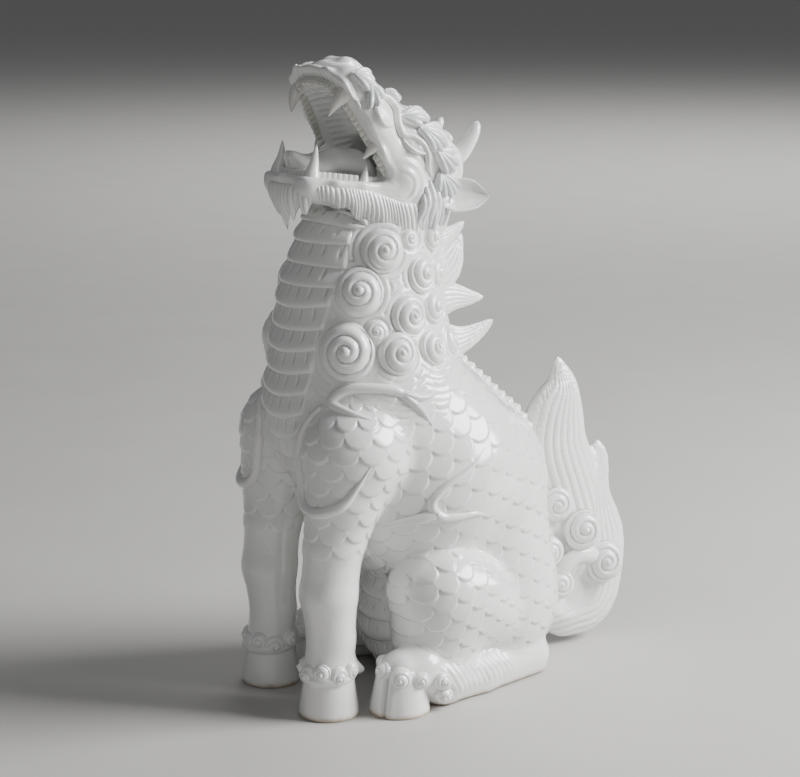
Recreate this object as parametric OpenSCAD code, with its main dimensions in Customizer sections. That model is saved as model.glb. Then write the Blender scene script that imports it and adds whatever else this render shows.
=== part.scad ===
// Seated guardian beast in white glazed porcelain.
// The figure faces -Y, its left side is +X and it stands on z = 0.
// Every piece is one that the potter moulds by itself and lutes on with slip before the glaze firing.

/* [Forelegs] */
// Distance between the centres of the two fore hooves
stance_w = 112; // [100:2:130]
// Height of the elbow, where the foreleg meets the shoulder
elbow_h = 205; // [185:5:235]
// Radius of the cannon, the slimmest part of the foreleg
cannon_r = 24; // [20:1:28]
// Radius of a fore hoof at the ground
fore_hoof_r = 28; // [24:1:32]
// Height of a fore hoof
fore_hoof_h = 36; // [30:2:44]

/* [Trunk] */
// Radius of the seat, the lowest mass of the body
seat_r = 88; // [76:2:98]
// Radius of the rib cage
rib_r = 104; // [92:2:116]
// Radius of the chest
chest_r = 92; // [82:2:102]
// Horizontal distance from the seat to the chest
trunk_reach = 120; // [105:5:135]
// Height of the chest's centre above the elbow
chest_rise = 78; // [68:2:90]
// Wall of the hollow pieces
wall = 7; // [5:1:10]

/* [Neck and head] */
// Length of the neck from the chest's centre to the throat
neck_len = 182; // [165:5:205]
// Radius of the neck under the jaw
neck_r = 56; // [50:2:62]
// Extra depth of the mane behind the neck
mane_swell = 20; // [10:2:26]
// Length of the upper jaw from its hinge to the front of the lip
upper_jaw_len = 122; // [108:2:134]
// Length of the lower jaw from its hinge to the chin
lower_jaw_len = 96; // [84:2:108]
// Half the width of the upper lip
upper_jaw_w = 58; // [52:1:64]
// Half the width of the lower lip
lower_jaw_w = 52; // [46:1:58]
// Angle of the upper jaw above the horizontal
upper_jaw_angle = 60; // [50:1:66]
// Angle of the lower jaw above the horizontal
lower_jaw_angle = 7; // [0:1:12]
// Length of a horn
horn_len = 46; // [38:2:56]
// Length of an ear
ear_len = 44; // [36:2:54]

/* [Hindquarters] */
// Radius of a thigh, seen from the side
thigh_r = 84; // [74:2:92]
// Distance from the midplane to the middle of a thigh
thigh_x = 70; // [62:2:78]
// Length of a hind foot from its hoof to its heel
hind_foot_len = 170; // [150:5:190]
// Radius of a hind hoof at the ground
hind_hoof_r = 29; // [25:1:33]
// Height of a hind hoof
hind_hoof_h = 40; // [34:2:46]

/* [Tail] */
// Height of the tail's main flame above the ground
tail_h = 297; // [260:1:330]
// Thickness of the tail, side to side
tail_w = 52; // [44:2:60]
// Distance from the seat to the back of the tail
tail_reach = 192; // [172:5:212]

/* [Ornament] */
// Radius of the largest mane curl
curl_r = 24; // [20:1:27]
// Half the width of the plated strip down the chest
plate_w = 46; // [38:2:54]
// Number of plates from the throat to the ground
plates = 14; // [12:1:17]
// Number of beads along the spine
spine_beads = 13; // [10:1:16]
// Diameter of the vent through the seat
vent_d = 16; // [10:1:22]

/* [Hidden] */

porcelain = [0.93, 0.93, 0.91];
mass_fn = 16;   // facets round the body masses
limb_fn = 12;   // facets round limbs and jaws
trim_fn = 8;    // facets round small trim
far = 2000;     // larger than the whole figure
seat_sink = 12; // how far the seat's ball is cut off flat by the ground

// A vector between two points, a share of the way along
function mix(a, b, t) = a + (b - a) * t;

// --- landmarks, before the figure is centred on its origin ---
seat = [0, 18, seat_r - seat_sink];
loin = [0, seat.y - 12, elbow_h - 15];
loin_r = 0.79 * rib_r;
rib = [0, seat.y - 68, elbow_h + 5];
chest = [0, seat.y - trunk_reach, elbow_h + chest_rise];
groin = [0, seat.y - 46, 0.7 * seat_r];
throat = chest + neck_len * [0, 0.08, 1];
hoof = [stance_w / 2, chest.y - 73, 0];
elbow = [stance_w / 2 + 5, hoof.y + 14, elbow_h];
shoulder = [stance_w / 2 + 3, hoof.y + 26, elbow_h + 42];
shoulder_r = 49;
thigh = [thigh_x, seat.y - 58, thigh_r + 8];
hind_hoof = [thigh_x + 14, thigh.y - 75, 0];
heel = hind_hoof + [-36, hind_foot_len, 0];
jaw_hinge = throat + [0, -8, 22];
tail_root = [0, seat.y + 78, 40];
tail_back = seat.y + tail_reach;

// The figure is centred on its origin, from the foremost of its chin, chest, shoulders and fetlocks to its tail
plate_t = 6;
front_y = min(jaw_hinge.y - lower_jaw_len, chest.y - chest_r - plate_t,
              shoulder.y - shoulder_r - 7, hoof.y - cannon_r - 8);
centre_y = (front_y + tail_back) / 2;

// --- basic shapes: a ball is [x, y, z, r] ---
module ball(b, fn = mass_fn) translate([b.x, b.y, b.z]) sphere(r = b[3], $fn = fn);

// A tapering limb through a row of balls
module limb(balls, fn = limb_fn, inset = 0)
    for (i = [0:len(balls) - 2])
        hull() {
            ball(balls[i] - [0, 0, 0, inset], fn);
            ball(balls[i + 1] - [0, 0, 0, inset], fn);
        }

// One convex mass round any number of balls, and their mirror images when paired
module mass(balls, fn = mass_fn, inset = 0)
    hull() for (b = balls, s = [-1, 1])
        ball([s * b.x, b.y, b.z, b[3] - inset], fn);

module above_ground() intersection() {
    children();
    translate([-far / 2, -far / 2, 0]) cube(far);
}

module other_side() mirror([1, 0, 0]) children();

// A landmark with a radius
function at(p, r) = [p.x, p.y, p.z, r];

// --- trunk ---
module trunk_form(inset = 0) {
    mass([at(seat, seat_r), at(loin, loin_r)], inset = inset);
    mass([at(loin, loin_r), at(rib, rib_r)], inset = inset);
    mass([at(rib, rib_r), at(chest, chest_r)], inset = inset);
    mass([at(groin, 0.75 * seat_r), at(seat, seat_r)], inset = inset);
    mass([at(groin, 0.75 * seat_r), at(loin, loin_r)], inset = inset);
}

// The trunk is cast hollow, in one space from the seat to the chest
module trunk_hollow() {
    mass([at(seat, seat_r), at(loin, loin_r)], inset = wall);
    mass([at(rib, rib_r), at(chest, chest_r)], inset = wall);
}

module trunk() color(porcelain) difference() {
    above_ground() trunk_form();
    intersection() {
        trunk_hollow();
        translate([-far / 2, -far / 2, wall]) cube(far);
    }
    translate([0, seat.y + 0.3 * seat_r, -1]) cylinder(d = vent_d, h = wall + 2, $fn = 24);
}

// --- neck ---
// The neck starts this far inside the chest, so that no face of one lies in a face of the other
neck_sink = 1;

// Share t of the way up: the neck bows forwards a little and tapers from the chest to the throat
function neck_ball(t) = at(
    mix(chest, throat, t) + [0, -16 * sin(180 * t), 0],
    mix(chest_r - neck_sink, neck_r, pow(t, 0.8))
);

// The mane thickens the back of the neck
function mane_ball(t) = neck_ball(t) + [0, mane_swell * sin(150 * t + 20), 0, -6];

module neck_form(inset = 0)
    for (t = [0:0.25:0.75])
        mass([neck_ball(t), neck_ball(t + 0.25), mane_ball(t), mane_ball(t + 0.25)], inset = inset);

module neck() color(porcelain) difference() {
    neck_form();
    trunk_form();
    neck_form(wall);
}

// --- plated strip down the throat, chest and belly ---
// The strip's centre line inside the body, from the throat to the ground: [y, z]
strip = [
    [throat.y - 20, throat.z + 6],
    [neck_ball(0.5).y - 20, neck_ball(0.5).z],
    [chest.y - 20, chest.z],
    [rib.y - 20, rib.z - 30],
    [groin.y, groin.z + 20],
    [groin.y, 10]
];
// Which way the strip faces at each of those points, from straight ahead downwards
strip_turn = [-16, -10, 0, 40, 24, 0];
function strip_at(list, t) =
    let (s = t * (len(list) - 1), i = min(floor(s), len(list) - 2))
    mix(list[i], list[i + 1], s - i);
function strip_w(t) = plate_w * (1 - 0.35 * abs(2 * t - 0.7));
plate_gap = 2.5;

// A slab for each plate, which the grown skin fills
module plate_slabs() for (i = [0:plates - 1]) {
    a = strip_at(strip, i / plates);
    b = strip_at(strip, (i + 1) / plates);
    turn = strip_at(strip_turn, (i + 0.5) / plates);
    w = strip_w((i + 0.5) / plates);
    translate([-w, (a.x + b.x) / 2, (a.y + b.y) / 2]) rotate([turn, 0, 0])
        translate([0, -far / 10, -(norm(a - b) - plate_gap) / 2])
            cube([2 * w, far / 10, norm(a - b) - plate_gap]);
}

module plates_form() intersection() {
    union() {
        trunk_form(-plate_t);
        neck_form(-plate_t);
    }
    plate_slabs();
}

module chest_plates() color(porcelain) difference() {
    above_ground() plates_form();
    trunk_form();
    neck_form();
    foreleg_form();
    other_side() foreleg_form();
}

// --- beads along the spine, from the mane to the tail ---
function back_of(p, r, angle) = p + r * [0, cos(angle), sin(angle)];
backbone = [
    back_of(rib, rib_r, 76), back_of(rib, rib_r, 60), back_of(loin, loin_r, 58),
    back_of(loin, loin_r, 38), back_of(loin, loin_r, 16)
];

module spine_ridge() color(porcelain) difference() {
    for (i = [0:spine_beads - 1]) {
        p = strip_at(backbone, i / (spine_beads - 1));
        hull() for (s = [-1, 1]) ball([s * 5, p.y + 2, p.z + 2, 8], trim_fn);
    }
    trunk_form();
    neck_form();
}

// --- forelegs: the left one is drawn, and the right one is its mirror image ---
fetlock_z = fore_hoof_h + 6;
leg_balls = [
    at(shoulder, shoulder_r),
    at(elbow, 35),
    at(hoof + [2, 6, 0.78 * elbow_h], 28),
    at(hoof + [0, 3, 0.54 * elbow_h], cannon_r + 3),
    at(hoof + [0, 3, 0.34 * elbow_h], cannon_r),
    at(hoof + [0, 0, fetlock_z], cannon_r + 1)
];

module foreleg_form(inset = 0) limb(leg_balls, limb_fn, inset);

module foreleg_cut() {
    trunk_form();
    neck_form();
    translate([-far / 2, -far / 2, fore_hoof_h - far]) cube(far);
}

module foreleg() color(porcelain) difference() {
    foreleg_form();
    foreleg_cut();
    intersection() {
        foreleg_form(wall + 3);
        translate([-far / 2, -far / 2, fore_hoof_h + wall]) cube(far);
    }
}

module fore_hoof() color(porcelain)
    translate([hoof.x, hoof.y, 0])
        rotate_extrude($fn = 36) polygon([
            [0, 0], [fore_hoof_r - 1.5, 0], [fore_hoof_r, 2],
            [cannon_r + 1, fore_hoof_h], [0, fore_hoof_h]
        ]);

// A snail curl: a low cone with a boss on it. It points along +Z
module curl(r, h = 0.8) {
    cylinder(r1 = r, r2 = 0.6 * r, h = 0.55 * h * r, $fn = trim_fn);
    translate([0, 0, 0.5 * h * r]) cylinder(r1 = 0.4 * r, r2 = 0.16 * r, h = 0.5 * h * r, $fn = trim_fn);
}

// Turns +Z towards a direction
module facing(d) rotate([0, acos(d.z / norm(d)), atan2(d.y, d.x)]) children();

// A ring of small curls over a hoof, spread over an arc about the vertical
module fetlock_ring(centre, r, count, from, to, size) {
    for (i = [0:count - 1]) {
        a = from + (to - from) * i / (count - 1);
        d = [cos(a), sin(a), 0];
        translate(centre + d * (r - 6)) facing(d) curl(size, 0.9);
    }
    translate(centre - [0, 0, 5]) cylinder(r1 = r + 1, r2 = r - 3, h = 12, $fn = 2 * trim_fn);
}

module fore_fetlock_curls() color(porcelain) difference() {
    translate([0, 0, fetlock_z]) fetlock_ring(hoof, cannon_r + 3, 6, -200, 50, 9);
    foreleg_form();
    translate([-far / 2, -far / 2, fore_hoof_h - far]) cube(far);
}

// --- hind legs ---
module thigh_form(inset = 0) {
    r = thigh_r;
    hull() {
        ball(at(thigh + [-4, 4, 6], 0.52 * r - inset));
        ball(at(thigh + [0, -26, 14], 0.5 * r - inset));
        ball(at(thigh + [-14, 30, -14], 0.5 * r - inset));
        ball(at(thigh + [-6, -24, -38], 0.42 * r - inset));
    }
}

foot_balls = [
    at(hind_hoof + [0, 4, hind_hoof_h - 2], 20),
    at(hind_hoof + [0, 40, 24], 26),
    at(mix(hind_hoof, heel, 0.55) + [4, 0, 16], 26),
    at(heel + [2, -4, 16], 26)
];

module hind_foot_form() limb(foot_balls);

module thigh() color(porcelain) difference() {
    above_ground() thigh_form();
    trunk_form();
    hind_foot_form();
    intersection() {
        thigh_form(wall);
        translate([-far / 2, -far / 2, wall]) cube(far);
    }
}

module hind_hoof_form()
    translate([hind_hoof.x, hind_hoof.y, 0])
        rotate_extrude($fn = 36) polygon([
            [0, 0], [hind_hoof_r - 1.5, 0], [hind_hoof_r, 2],
            [0.66 * hind_hoof_r, hind_hoof_h], [0, hind_hoof_h]
        ]);

module hind_foot() color(porcelain) difference() {
    above_ground() hind_foot_form();
    trunk_form();
    hind_hoof_form();
}

module hind_hoof() color(porcelain) hind_hoof_form();

module hind_fetlock_curls() color(porcelain) difference() {
    c = hind_hoof + [0, 3, hind_hoof_h + 2];
    union() {
        for (a = [-150, -90, -35, 10]) let (d = [cos(a), sin(a), 0.35])
            translate(c + 15 * d) facing(d) curl(a == -35 ? 13 : 10, 1.1);
        translate(hind_hoof + [20, 36, 30]) facing([1, 0, 0.3]) curl(9, 1.1);
        translate(hind_hoof + [22, 34, 12]) facing([1, 0, 0]) curl(8, 1.1);
    }
    hind_foot_form();
    hind_hoof_form();
    trunk_form();
}

// --- flame ribbons that lie on the skin ---
// Each ribbon is a row of [along, up, radius] on the side of the figure, pushed in from +X onto the skin
module ribbon(points, x)
    for (i = [0:len(points) - 2])
        hull() for (p = [points[i], points[i + 1]])
            translate([x(p), p.x, p.y]) sphere(r = p[2], $fn = trim_fn);

// The skin of a ball, seen from +X
function skin(b, y, z) = b.x + sqrt(max(b[3] * b[3] - pow(y - b.y, 2) - pow(z - b.z, 2), 9));

shoulder_skin = function(p) max(skin(at(shoulder, shoulder_r), p.x, p.y), skin(at(rib, rib_r), p.x, p.y),
                                skin(at(chest, chest_r), p.x, p.y)) - 1;
rib_skin = function(p) max(skin(at(rib, rib_r), p.x, p.y), skin(at(loin, loin_r), p.x, p.y)) - 1;

module shoulder_flames() color(porcelain) difference() {
    s = shoulder;
    union() {
        ribbon([[s.y - 18, s.z + 54, 3], [s.y - 32, s.z + 34, 5], [s.y - 46, s.z + 10, 6],
                [s.y - 44, s.z - 22, 7], [s.y - 24, s.z - 40, 7], [s.y, s.z - 26, 6],
                [s.y + 14, s.z - 4, 3]], shoulder_skin);
        ribbon([[s.y + 4, s.z + 36, 3], [s.y - 14, s.z + 46, 5], [s.y - 10, s.z + 60, 6],
                [s.y + 24, s.z + 62, 5], [s.y + 40, s.z + 54, 5], [s.y + 66, s.z + 26, 2.5]], shoulder_skin);
        ribbon([[s.y + 40, s.z + 54, 5], [s.y + 80, s.z + 54, 3]], shoulder_skin);
    }
    trunk_form();
    foreleg_form();
    neck_form();
}

module flank_flames() color(porcelain) difference() {
    r = rib;
    union() {
        ribbon([[r.y + 18, r.z + 33, 2.5], [r.y - 6, r.z + 16, 4], [r.y - 30, r.z + 2, 6],
                [r.y - 34, r.z - 16, 7], [r.y - 16, r.z - 26, 5], [r.y + 4, r.z - 22, 4],
                [r.y + 30, r.z - 26, 2.5]], rib_skin);
        ribbon([[r.y - 34, r.z - 16, 6], [r.y - 52, r.z - 26, 5], [r.y - 72, r.z - 34, 3]], rib_skin);
    }
    trunk_form();
    thigh_form();
    foreleg_form();
}

// --- head: points are [sideways, along the jaw, away from the mouth] from the jaw hinge ---
function upper(p) = jaw_hinge + [p.x,
    -cos(upper_jaw_angle) * p.y + sin(upper_jaw_angle) * p.z,
    sin(upper_jaw_angle) * p.y + cos(upper_jaw_angle) * p.z];
function lower(p) = jaw_hinge + [p.x,
    -cos(lower_jaw_angle) * p.y + sin(lower_jaw_angle) * p.z,
    sin(lower_jaw_angle) * p.y + cos(lower_jaw_angle) * p.z];
function up_ball(x, u, n, r) = at(upper([x, u, n]), r);
function low_ball(x, u, n, r) = at(lower([x, u, n]), r);
u_len = upper_jaw_len;
l_len = lower_jaw_len;

module muzzle_form() {
    mass([up_ball(0.55 * upper_jaw_w, u_len - 12, 9, 11), up_ball(upper_jaw_w - 10, 0.8 * u_len, 9, 10),
          up_ball(0.2 * upper_jaw_w, 0.76 * u_len, 30, 16)], limb_fn);
    mass([up_ball(upper_jaw_w - 10, 0.8 * u_len, 9, 10), up_ball(upper_jaw_w - 5, 0.42 * u_len, 9, 12),
          up_ball(0.2 * upper_jaw_w, 0.76 * u_len, 30, 16),
          up_ball(0.3 * upper_jaw_w, 0.4 * u_len, 40, 18)], limb_fn);
    mass([up_ball(upper_jaw_w - 5, 0.42 * u_len, 9, 12), up_ball(upper_jaw_w - 14, 2, 16, 18),
          up_ball(0.3 * upper_jaw_w, 0.4 * u_len, 40, 18),
          up_ball(0.4 * upper_jaw_w, 0.1 * u_len, 52, 22)], limb_fn);
}

module cranium_form() {
    mass([up_ball(upper_jaw_w - 24, 0, 18, 26), up_ball(0.4 * upper_jaw_w, 0.1 * u_len, 52, 22),
          up_ball(0.4 * upper_jaw_w, -18, 52, 26)], limb_fn);
    mass([up_ball(upper_jaw_w - 24, 0, 18, 26), up_ball(0.4 * upper_jaw_w, -18, 52, 26),
          at(throat + [0, 14, 0], neck_r - 4)], limb_fn);
    mass([at(jaw_hinge + [upper_jaw_w - 20, 10, -12], 20), up_ball(upper_jaw_w - 24, 0, 18, 26),
          at(throat + [0, 14, 0], neck_r - 4)], limb_fn);
}

// The open mouth between the jaws, with a round corner
module mouth_form() {
    mass([up_ball(far / 20, 10, -9, 9), up_ball(far / 20, u_len + 40, -30, 30)], trim_fn);
    mass([up_ball(upper_jaw_w - 30, 14, 2, 9), up_ball(upper_jaw_w - 26, 0.75 * u_len, 0, 9)], trim_fn);
    mass([up_ball(far / 20, u_len + 40, -30, 30), up_ball(far / 20, 10, -9, 9),
          low_ball(far / 20, l_len + 40, 30, 30), low_ball(far / 20, 12, 8, 8)], trim_fn);
}

module skull_form() {
    muzzle_form();
    cranium_form();
}

module skull() color(porcelain) difference() {
    skull_form();
    mouth_form();
    lower_jaw_form();
    trunk_form();
    neck_form();
    mass([up_ball(upper_jaw_w - 30, 0, 30, 14), up_ball(0.2 * upper_jaw_w, -10, 50, 24)], trim_fn);
}

jaw_rail = [
    low_ball(0, l_len - 9, -9, 10),
    low_ball(0.6 * lower_jaw_w, l_len - 14, -9, 10),
    low_ball(lower_jaw_w - 12, 0.55 * l_len, -9, 10),
    low_ball(lower_jaw_w - 8, 4, -10, 11)
];

module lower_jaw_form() {
    limb(jaw_rail);
    other_side() limb(jaw_rail);
    mass([low_ball(0.5 * lower_jaw_w, l_len - 22, -16, 7), low_ball(lower_jaw_w - 16, 0, -18, 10)], trim_fn);
}

module lower_jaw() color(porcelain) difference() {
    lower_jaw_form();
    neck_form();
}

module tongue_form() {
    tongue_balls = [
        low_ball(0, 2, -2, 13), low_ball(0, 30, 6, 15), low_ball(0, 58, 4, 12), low_ball(0, 78, 10, 6)
    ];
    for (s = [0.5, 1.6]) scale([s, 1, 1]) limb(tongue_balls, trim_fn);
}

module tongue() color(porcelain) difference() {
    tongue_form();
    lower_jaw_form();
    neck_form();
    skull_solid();
}

// The skull's solid with the mouth taken out, for what is luted into it
module skull_solid() difference() {
    skull_form();
    mouth_form();
}

module nose_form() mass([up_ball(9, 0.82 * u_len, 36, 9), up_ball(15, 0.74 * u_len, 38, 9)], limb_fn);

module nose() color(porcelain) difference() {
    nose_form();
    muzzle_form();
}

// A row of teeth along a U: pos(t) for t from -1 to 1 gives each tooth's ball
module teeth_row(count, pos) for (i = [0:count - 1]) {
    t = -1 + 2 * i / (count - 1);
    hull() {
        ball(pos(t, 0), 5);
        ball(pos(t, 1), 5);
    }
}

// Where the gum runs: across the front of the jaw, then back along each side
function gum(t, w, length, back) =
    let (a = abs(t), s = sign(t))
    let (side_share = (a - 0.35) / 0.65)
    a < 0.35 ? [w * 0.68 * t / 0.35, length - 3 * a / 0.35]
             : [s * w * (0.68 + 0.32 * sin(90 * side_share)), mix(length - 3, back, side_share)];

upper_tooth = function(t, k)
    let (g = gum(t, upper_jaw_w - 14, u_len - 18, 18))
    up_ball(g.x, g.y, 4 - 6 * k, 3.2);
lower_tooth = function(t, k)
    let (g = gum(t, lower_jaw_w - 13, l_len - 13, 22))
    low_ball(g.x, g.y, -2 + 5 * k, 3);

module upper_teeth() color(porcelain) difference() {
    teeth_row(23, upper_tooth);
    skull_solid();
    upper_fangs_form();
}

module lower_teeth() color(porcelain) difference() {
    teeth_row(21, lower_tooth);
    lower_jaw_form();
    lower_fangs_form();
    skull_solid();
}

// A fang is a bent cone from its root towards its tip
module fang(root, bend, tip) limb([root, bend, tip], trim_fn);

module upper_fangs_form() for (s = [-1, 1]) {
    fang(up_ball(s * (upper_jaw_w - 20), u_len - 24, 2, 7),
         up_ball(s * (upper_jaw_w - 20), u_len - 32, -14, 4.5),
         up_ball(s * (upper_jaw_w - 22), u_len - 44, -26, 1.5));
    fang(up_ball(s * (upper_jaw_w - 12), 24, 2, 5.5), up_ball(s * (upper_jaw_w - 14), 19, -8, 4),
         up_ball(s * (upper_jaw_w - 16), 13, -16, 1.5));
}

module upper_fangs() color(porcelain) difference() {
    upper_fangs_form();
    skull_solid();
}

module lower_fangs_form() for (s = [-1, 1]) {
    fang(low_ball(s * 30, l_len - 17, -4, 7), low_ball(s * 30, l_len - 18, 12, 4),
         low_ball(s * 31, l_len - 17, 28, 1.5));
    fang(low_ball(s * (lower_jaw_w - 12), 20, -2, 5), low_ball(s * (lower_jaw_w - 12), 18, 6, 3.5),
         low_ball(s * (lower_jaw_w - 13), 16, 13, 1.5));
}

module lower_fangs() color(porcelain) difference() {
    lower_fangs_form();
    lower_jaw_form();
}

module eyes_form() for (s = [-1, 1])
    hull() {
        ball(up_ball(s * (upper_jaw_w - 6), 33, 31, 7), trim_fn);
        ball(up_ball(s * (upper_jaw_w - 7), 20, 29, 7), trim_fn);
    }

module eyes() color(porcelain) difference() {
    eyes_form();
    skull_form();
    brow_ridges_form();
}

module brow_ridges_form() for (s = [-1, 1]) {
    limb([up_ball(s * 14, 76, 48, 4), up_ball(s * 22, 66, 54, 5), up_ball(s * 27, 48, 52, 6),
          up_ball(s * 33, 34, 50, 6), up_ball(s * 38, 14, 46, 5), up_ball(s * 42, -6, 36, 4)], trim_fn);
}

module brow_ridges() color(porcelain) difference() {
    brow_ridges_form();
    skull_form();
    nose_form();
}

// Shell-shaped tufts of hair over the muzzle, the brow and the temple
tufts = [
    [22, 72, 40, 9, 20], [26, 62, 34, 7, 16],
    [16, 34, 68, 10, 22], [24, 14, 70, 10, 24], [34, -4, 62, 9, 22], [42, -22, 48, 10, 22]
];

module tufts_form() for (t = tufts)
    hull() {
        ball(up_ball(t[0], t[1], t[2], t[3]), trim_fn);
        ball(up_ball(t[0] + 4, t[1] - t[4] * 0.8, t[2] - t[4] * 0.3, 0.7 * t[3]), trim_fn);
    }

module brow_tufts() color(porcelain) difference() {
    tufts_form();
    skull_form();
    brow_ridges_form();
    horn_form();
    nose_form();
}

horn_dir = [0.2, 0.5, 0.84];
module horn_form() {
    root = upper([24, -16, 52]);
    limb([for (t = [0:0.25:1])
        at(root + horn_dir * (horn_len + 16) * t - [0, 5 * sin(180 * t), 0], 12 * (1 - t) + 5 * t)], limb_fn);
}

module horn() color(porcelain) difference() {
    horn_form();
    skull_form();
}

module ear_form() {
    root = upper([upper_jaw_w - 6, -44, 26]);
    dir = [0.5, 0.8, 0.3];
    difference() {
        hull() {
            ball(at(root, 8), trim_fn);
            ball(at(root + 0.5 * ear_len * dir + [0, 0, 7], 8), trim_fn);
            ball(at(root + 0.6 * ear_len * dir - [0, 0, 7], 7), trim_fn);
            ball(at(root + ear_len * dir, 3), trim_fn);
        }
        translate([7, -9, 0]) hull() {
            ball(at(root + 0.4 * ear_len * dir, 5), trim_fn);
            ball(at(root + 0.75 * ear_len * dir, 5), trim_fn);
        }
    }
}

module ear() color(porcelain) difference() {
    ear_form();
    skull_form();
    tufts_form();
}

// --- beard, jaw fringe and cheek locks ---
module beard() color(porcelain) difference() {
    for (i = [-2:2]) {
        root = low_ball(i * 9, l_len - 8 - abs(i), -14, 6);
        len = 34 - 9 * abs(i);
        limb([root, root + [0, 4, -0.6 * len, -1.5], root + [-1.2 * i, 9, -len, -4]], trim_fn);
    }
    lower_jaw_form();
}

module fringe_form() {
    count = 8;
    for (i = [0:count - 1]) {
        u = 0.78 * l_len - 12.5 * i;
        x = upper_jaw_w - 24 + 20 * sin(90 * i / (count - 1));
        drop = 10 + 2.6 * i;
        hull() {
            ball(low_ball(x, u, -16, 6), trim_fn);
            ball(at(lower([x - 2, u - 5, -17 - drop]), 4.5), trim_fn);
        }
    }
}

module jaw_fringe() color(porcelain) difference() {
    fringe_form();
    lower_jaw_form();
    skull_form();
    neck_form();
}

module cheek_locks() color(porcelain) difference() {
    for (i = [0:4]) {
        root = at(jaw_hinge + [upper_jaw_w - 6 - 2 * i, 6 + 10 * i, -4 - 2 * i], 7);
        limb([root, root + [4, 4, -16, -1], root + [4, 8, -30, -4]], trim_fn);
    }
    skull_form();
    neck_form();
    fringe_form();
}

// --- mane curls: each is [height up the neck, angle round it, share of curl_r] ---
mane = [
    [0.32, -41, 1.16], [0.61, -27, 1.0], [0.82, -10, 0.85],
    [0.41, -22, 0.4], [0.28, -4, 0.85], [0.48, 10, 0.85], [0.69, 22, 0.75], [0.87, 12, 0.42],
    [0.27, 30, 0.75], [0.5, 42, 0.6], [0.72, 52, 0.55], [0.88, 40, 0.5], [0.28, 58, 0.55]
];

module mane_curls() color(porcelain) difference() {
    for (m = mane) {
        b = neck_ball(m[0]);
        d = [cos(m[1]), sin(m[1]), 0.12];
        swell = m[1] > 0 ? mane_swell * 0.9 * sin(m[1]) : 0;
        translate([b.x, b.y + swell, b.z] + d * (b[3] - 5)) facing(d) curl(curl_r * m[2]);
    }
    neck_form();
    trunk_form();
    skull_form();
    fringe_form();
    ear_form();
}

// --- nape flames: flat pointed locks on the midplane, as [y, z, r] points from the nape ---
nape = chest + [0, 0.78 * chest_r, 0];
module flame(points) for (i = [0:len(points) - 2])
    scale([0.4, 1, 1]) hull() for (p = [points[i], points[i + 1]])
        ball([0, nape.y + p[0], nape.z + neck_len * p[1], p[2]], limb_fn);

module nape_flames() color(porcelain) difference() {
    union() {
        flame([[0, 0.56, 30], [30, 0.68, 15], [44, 0.8, 3]]);
        flame([[6, 0.44, 26], [38, 0.49, 13], [59, 0.47, 3]]);
        flame([[14, 0.22, 26], [48, 0.25, 13], [71, 0.32, 3]]);
        flame([[-4, 0.84, 16], [30, 0.86, 9], [36, 0.92, 3]]);
    }
    neck_form();
    trunk_form();
    skull_form();
}

// --- tail: a standing flame with a side flame and curls ---
tail_flat = tail_w / 100; // the tail's thickness as a share of its width
tail_spine = [
    [0, tail_root.y + 36, 44, 46], [0, tail_back - 56, 92, 52], [0, tail_back - 68, 150, 48],
    [0, tail_back - 91, tail_h - 84, 37], [0, tail_back - 85, tail_h - 38, 24],
    [0, tail_back - 86, tail_h - 4, 4]
];
tail_side = [[0, tail_back - 38, 120, 38], [0, tail_back - 32, 168, 22], [0, tail_back - 34, 202, 5]];

module tail_form() scale([tail_flat, 1, 1]) {
    limb(tail_spine);
    limb(tail_side);
    // The web between the flame and the rump
    hull() {
        ball([0, tail_root.y - 10, 110, 30], limb_fn);
        ball([0, tail_back - 80, 150, 40], limb_fn);
        ball([0, tail_root.y, 180, 20], limb_fn);
    }
}

// The tail is cast hollow and open at its root, where it is luted on the rump
module tail_hollow() scale([tail_flat - 0.04, 1, 1]) limb([
    [0, tail_root.y, 78, 24], [0, tail_back - 56, 92, 52 - wall - 3],
    [0, tail_back - 68, 150, 48 - wall - 3], [0, tail_back - 91, tail_h - 90, 34 - wall - 3]
]);

module tail() color(porcelain) difference() {
    above_ground() tail_form();
    trunk_form();
    tail_hollow();
}

// Each is [distance behind the rump, height, radius]
curls_on_tail = [[15, 153, 15], [43, 125, 18], [72, 86, 18], [9, 108, 14], [27, 72, 16]];

module tail_curls() color(porcelain) difference() {
    for (c = curls_on_tail)
        translate([0.38 * tail_w, tail_root.y + c.x, c.y]) facing([1, 0, 0.05]) curl(c.z, 1);
    trunk_form();
    tail_form();
    thigh_form();
}

// --- the figure, centred on its origin; right-hand pieces are mirror images of the left ones ---
module centred() translate([0, -centre_y, 0]) children();
module left_side() centred() children();
module right_side() centred() other_side() children();

centred() trunk();
centred() neck();
centred() chest_plates();
centred() spine_ridge();
left_side() foreleg();  // foreleg_left
right_side() foreleg();  // foreleg_right
left_side() fore_hoof();  // fore_hoof_left
right_side() fore_hoof();  // fore_hoof_right
left_side() fore_fetlock_curls();  // fore_fetlock_curls_left
right_side() fore_fetlock_curls();  // fore_fetlock_curls_right
left_side() thigh();  // thigh_left
right_side() thigh();  // thigh_right
left_side() hind_foot();  // hind_foot_left
right_side() hind_foot();  // hind_foot_right
left_side() hind_hoof();  // hind_hoof_left
right_side() hind_hoof();  // hind_hoof_right
left_side() hind_fetlock_curls();  // hind_fetlock_curls_left
right_side() hind_fetlock_curls();  // hind_fetlock_curls_right
left_side() shoulder_flames();  // shoulder_flames_left
right_side() shoulder_flames();  // shoulder_flames_right
left_side() flank_flames();  // flank_flames_left
right_side() flank_flames();  // flank_flames_right
centred() skull();
centred() lower_jaw();
centred() tongue();
centred() nose();
centred() upper_teeth();
centred() lower_teeth();
centred() upper_fangs();
centred() lower_fangs();
centred() eyes();
centred() brow_ridges();
left_side() brow_tufts();  // brow_tufts_left
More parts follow.
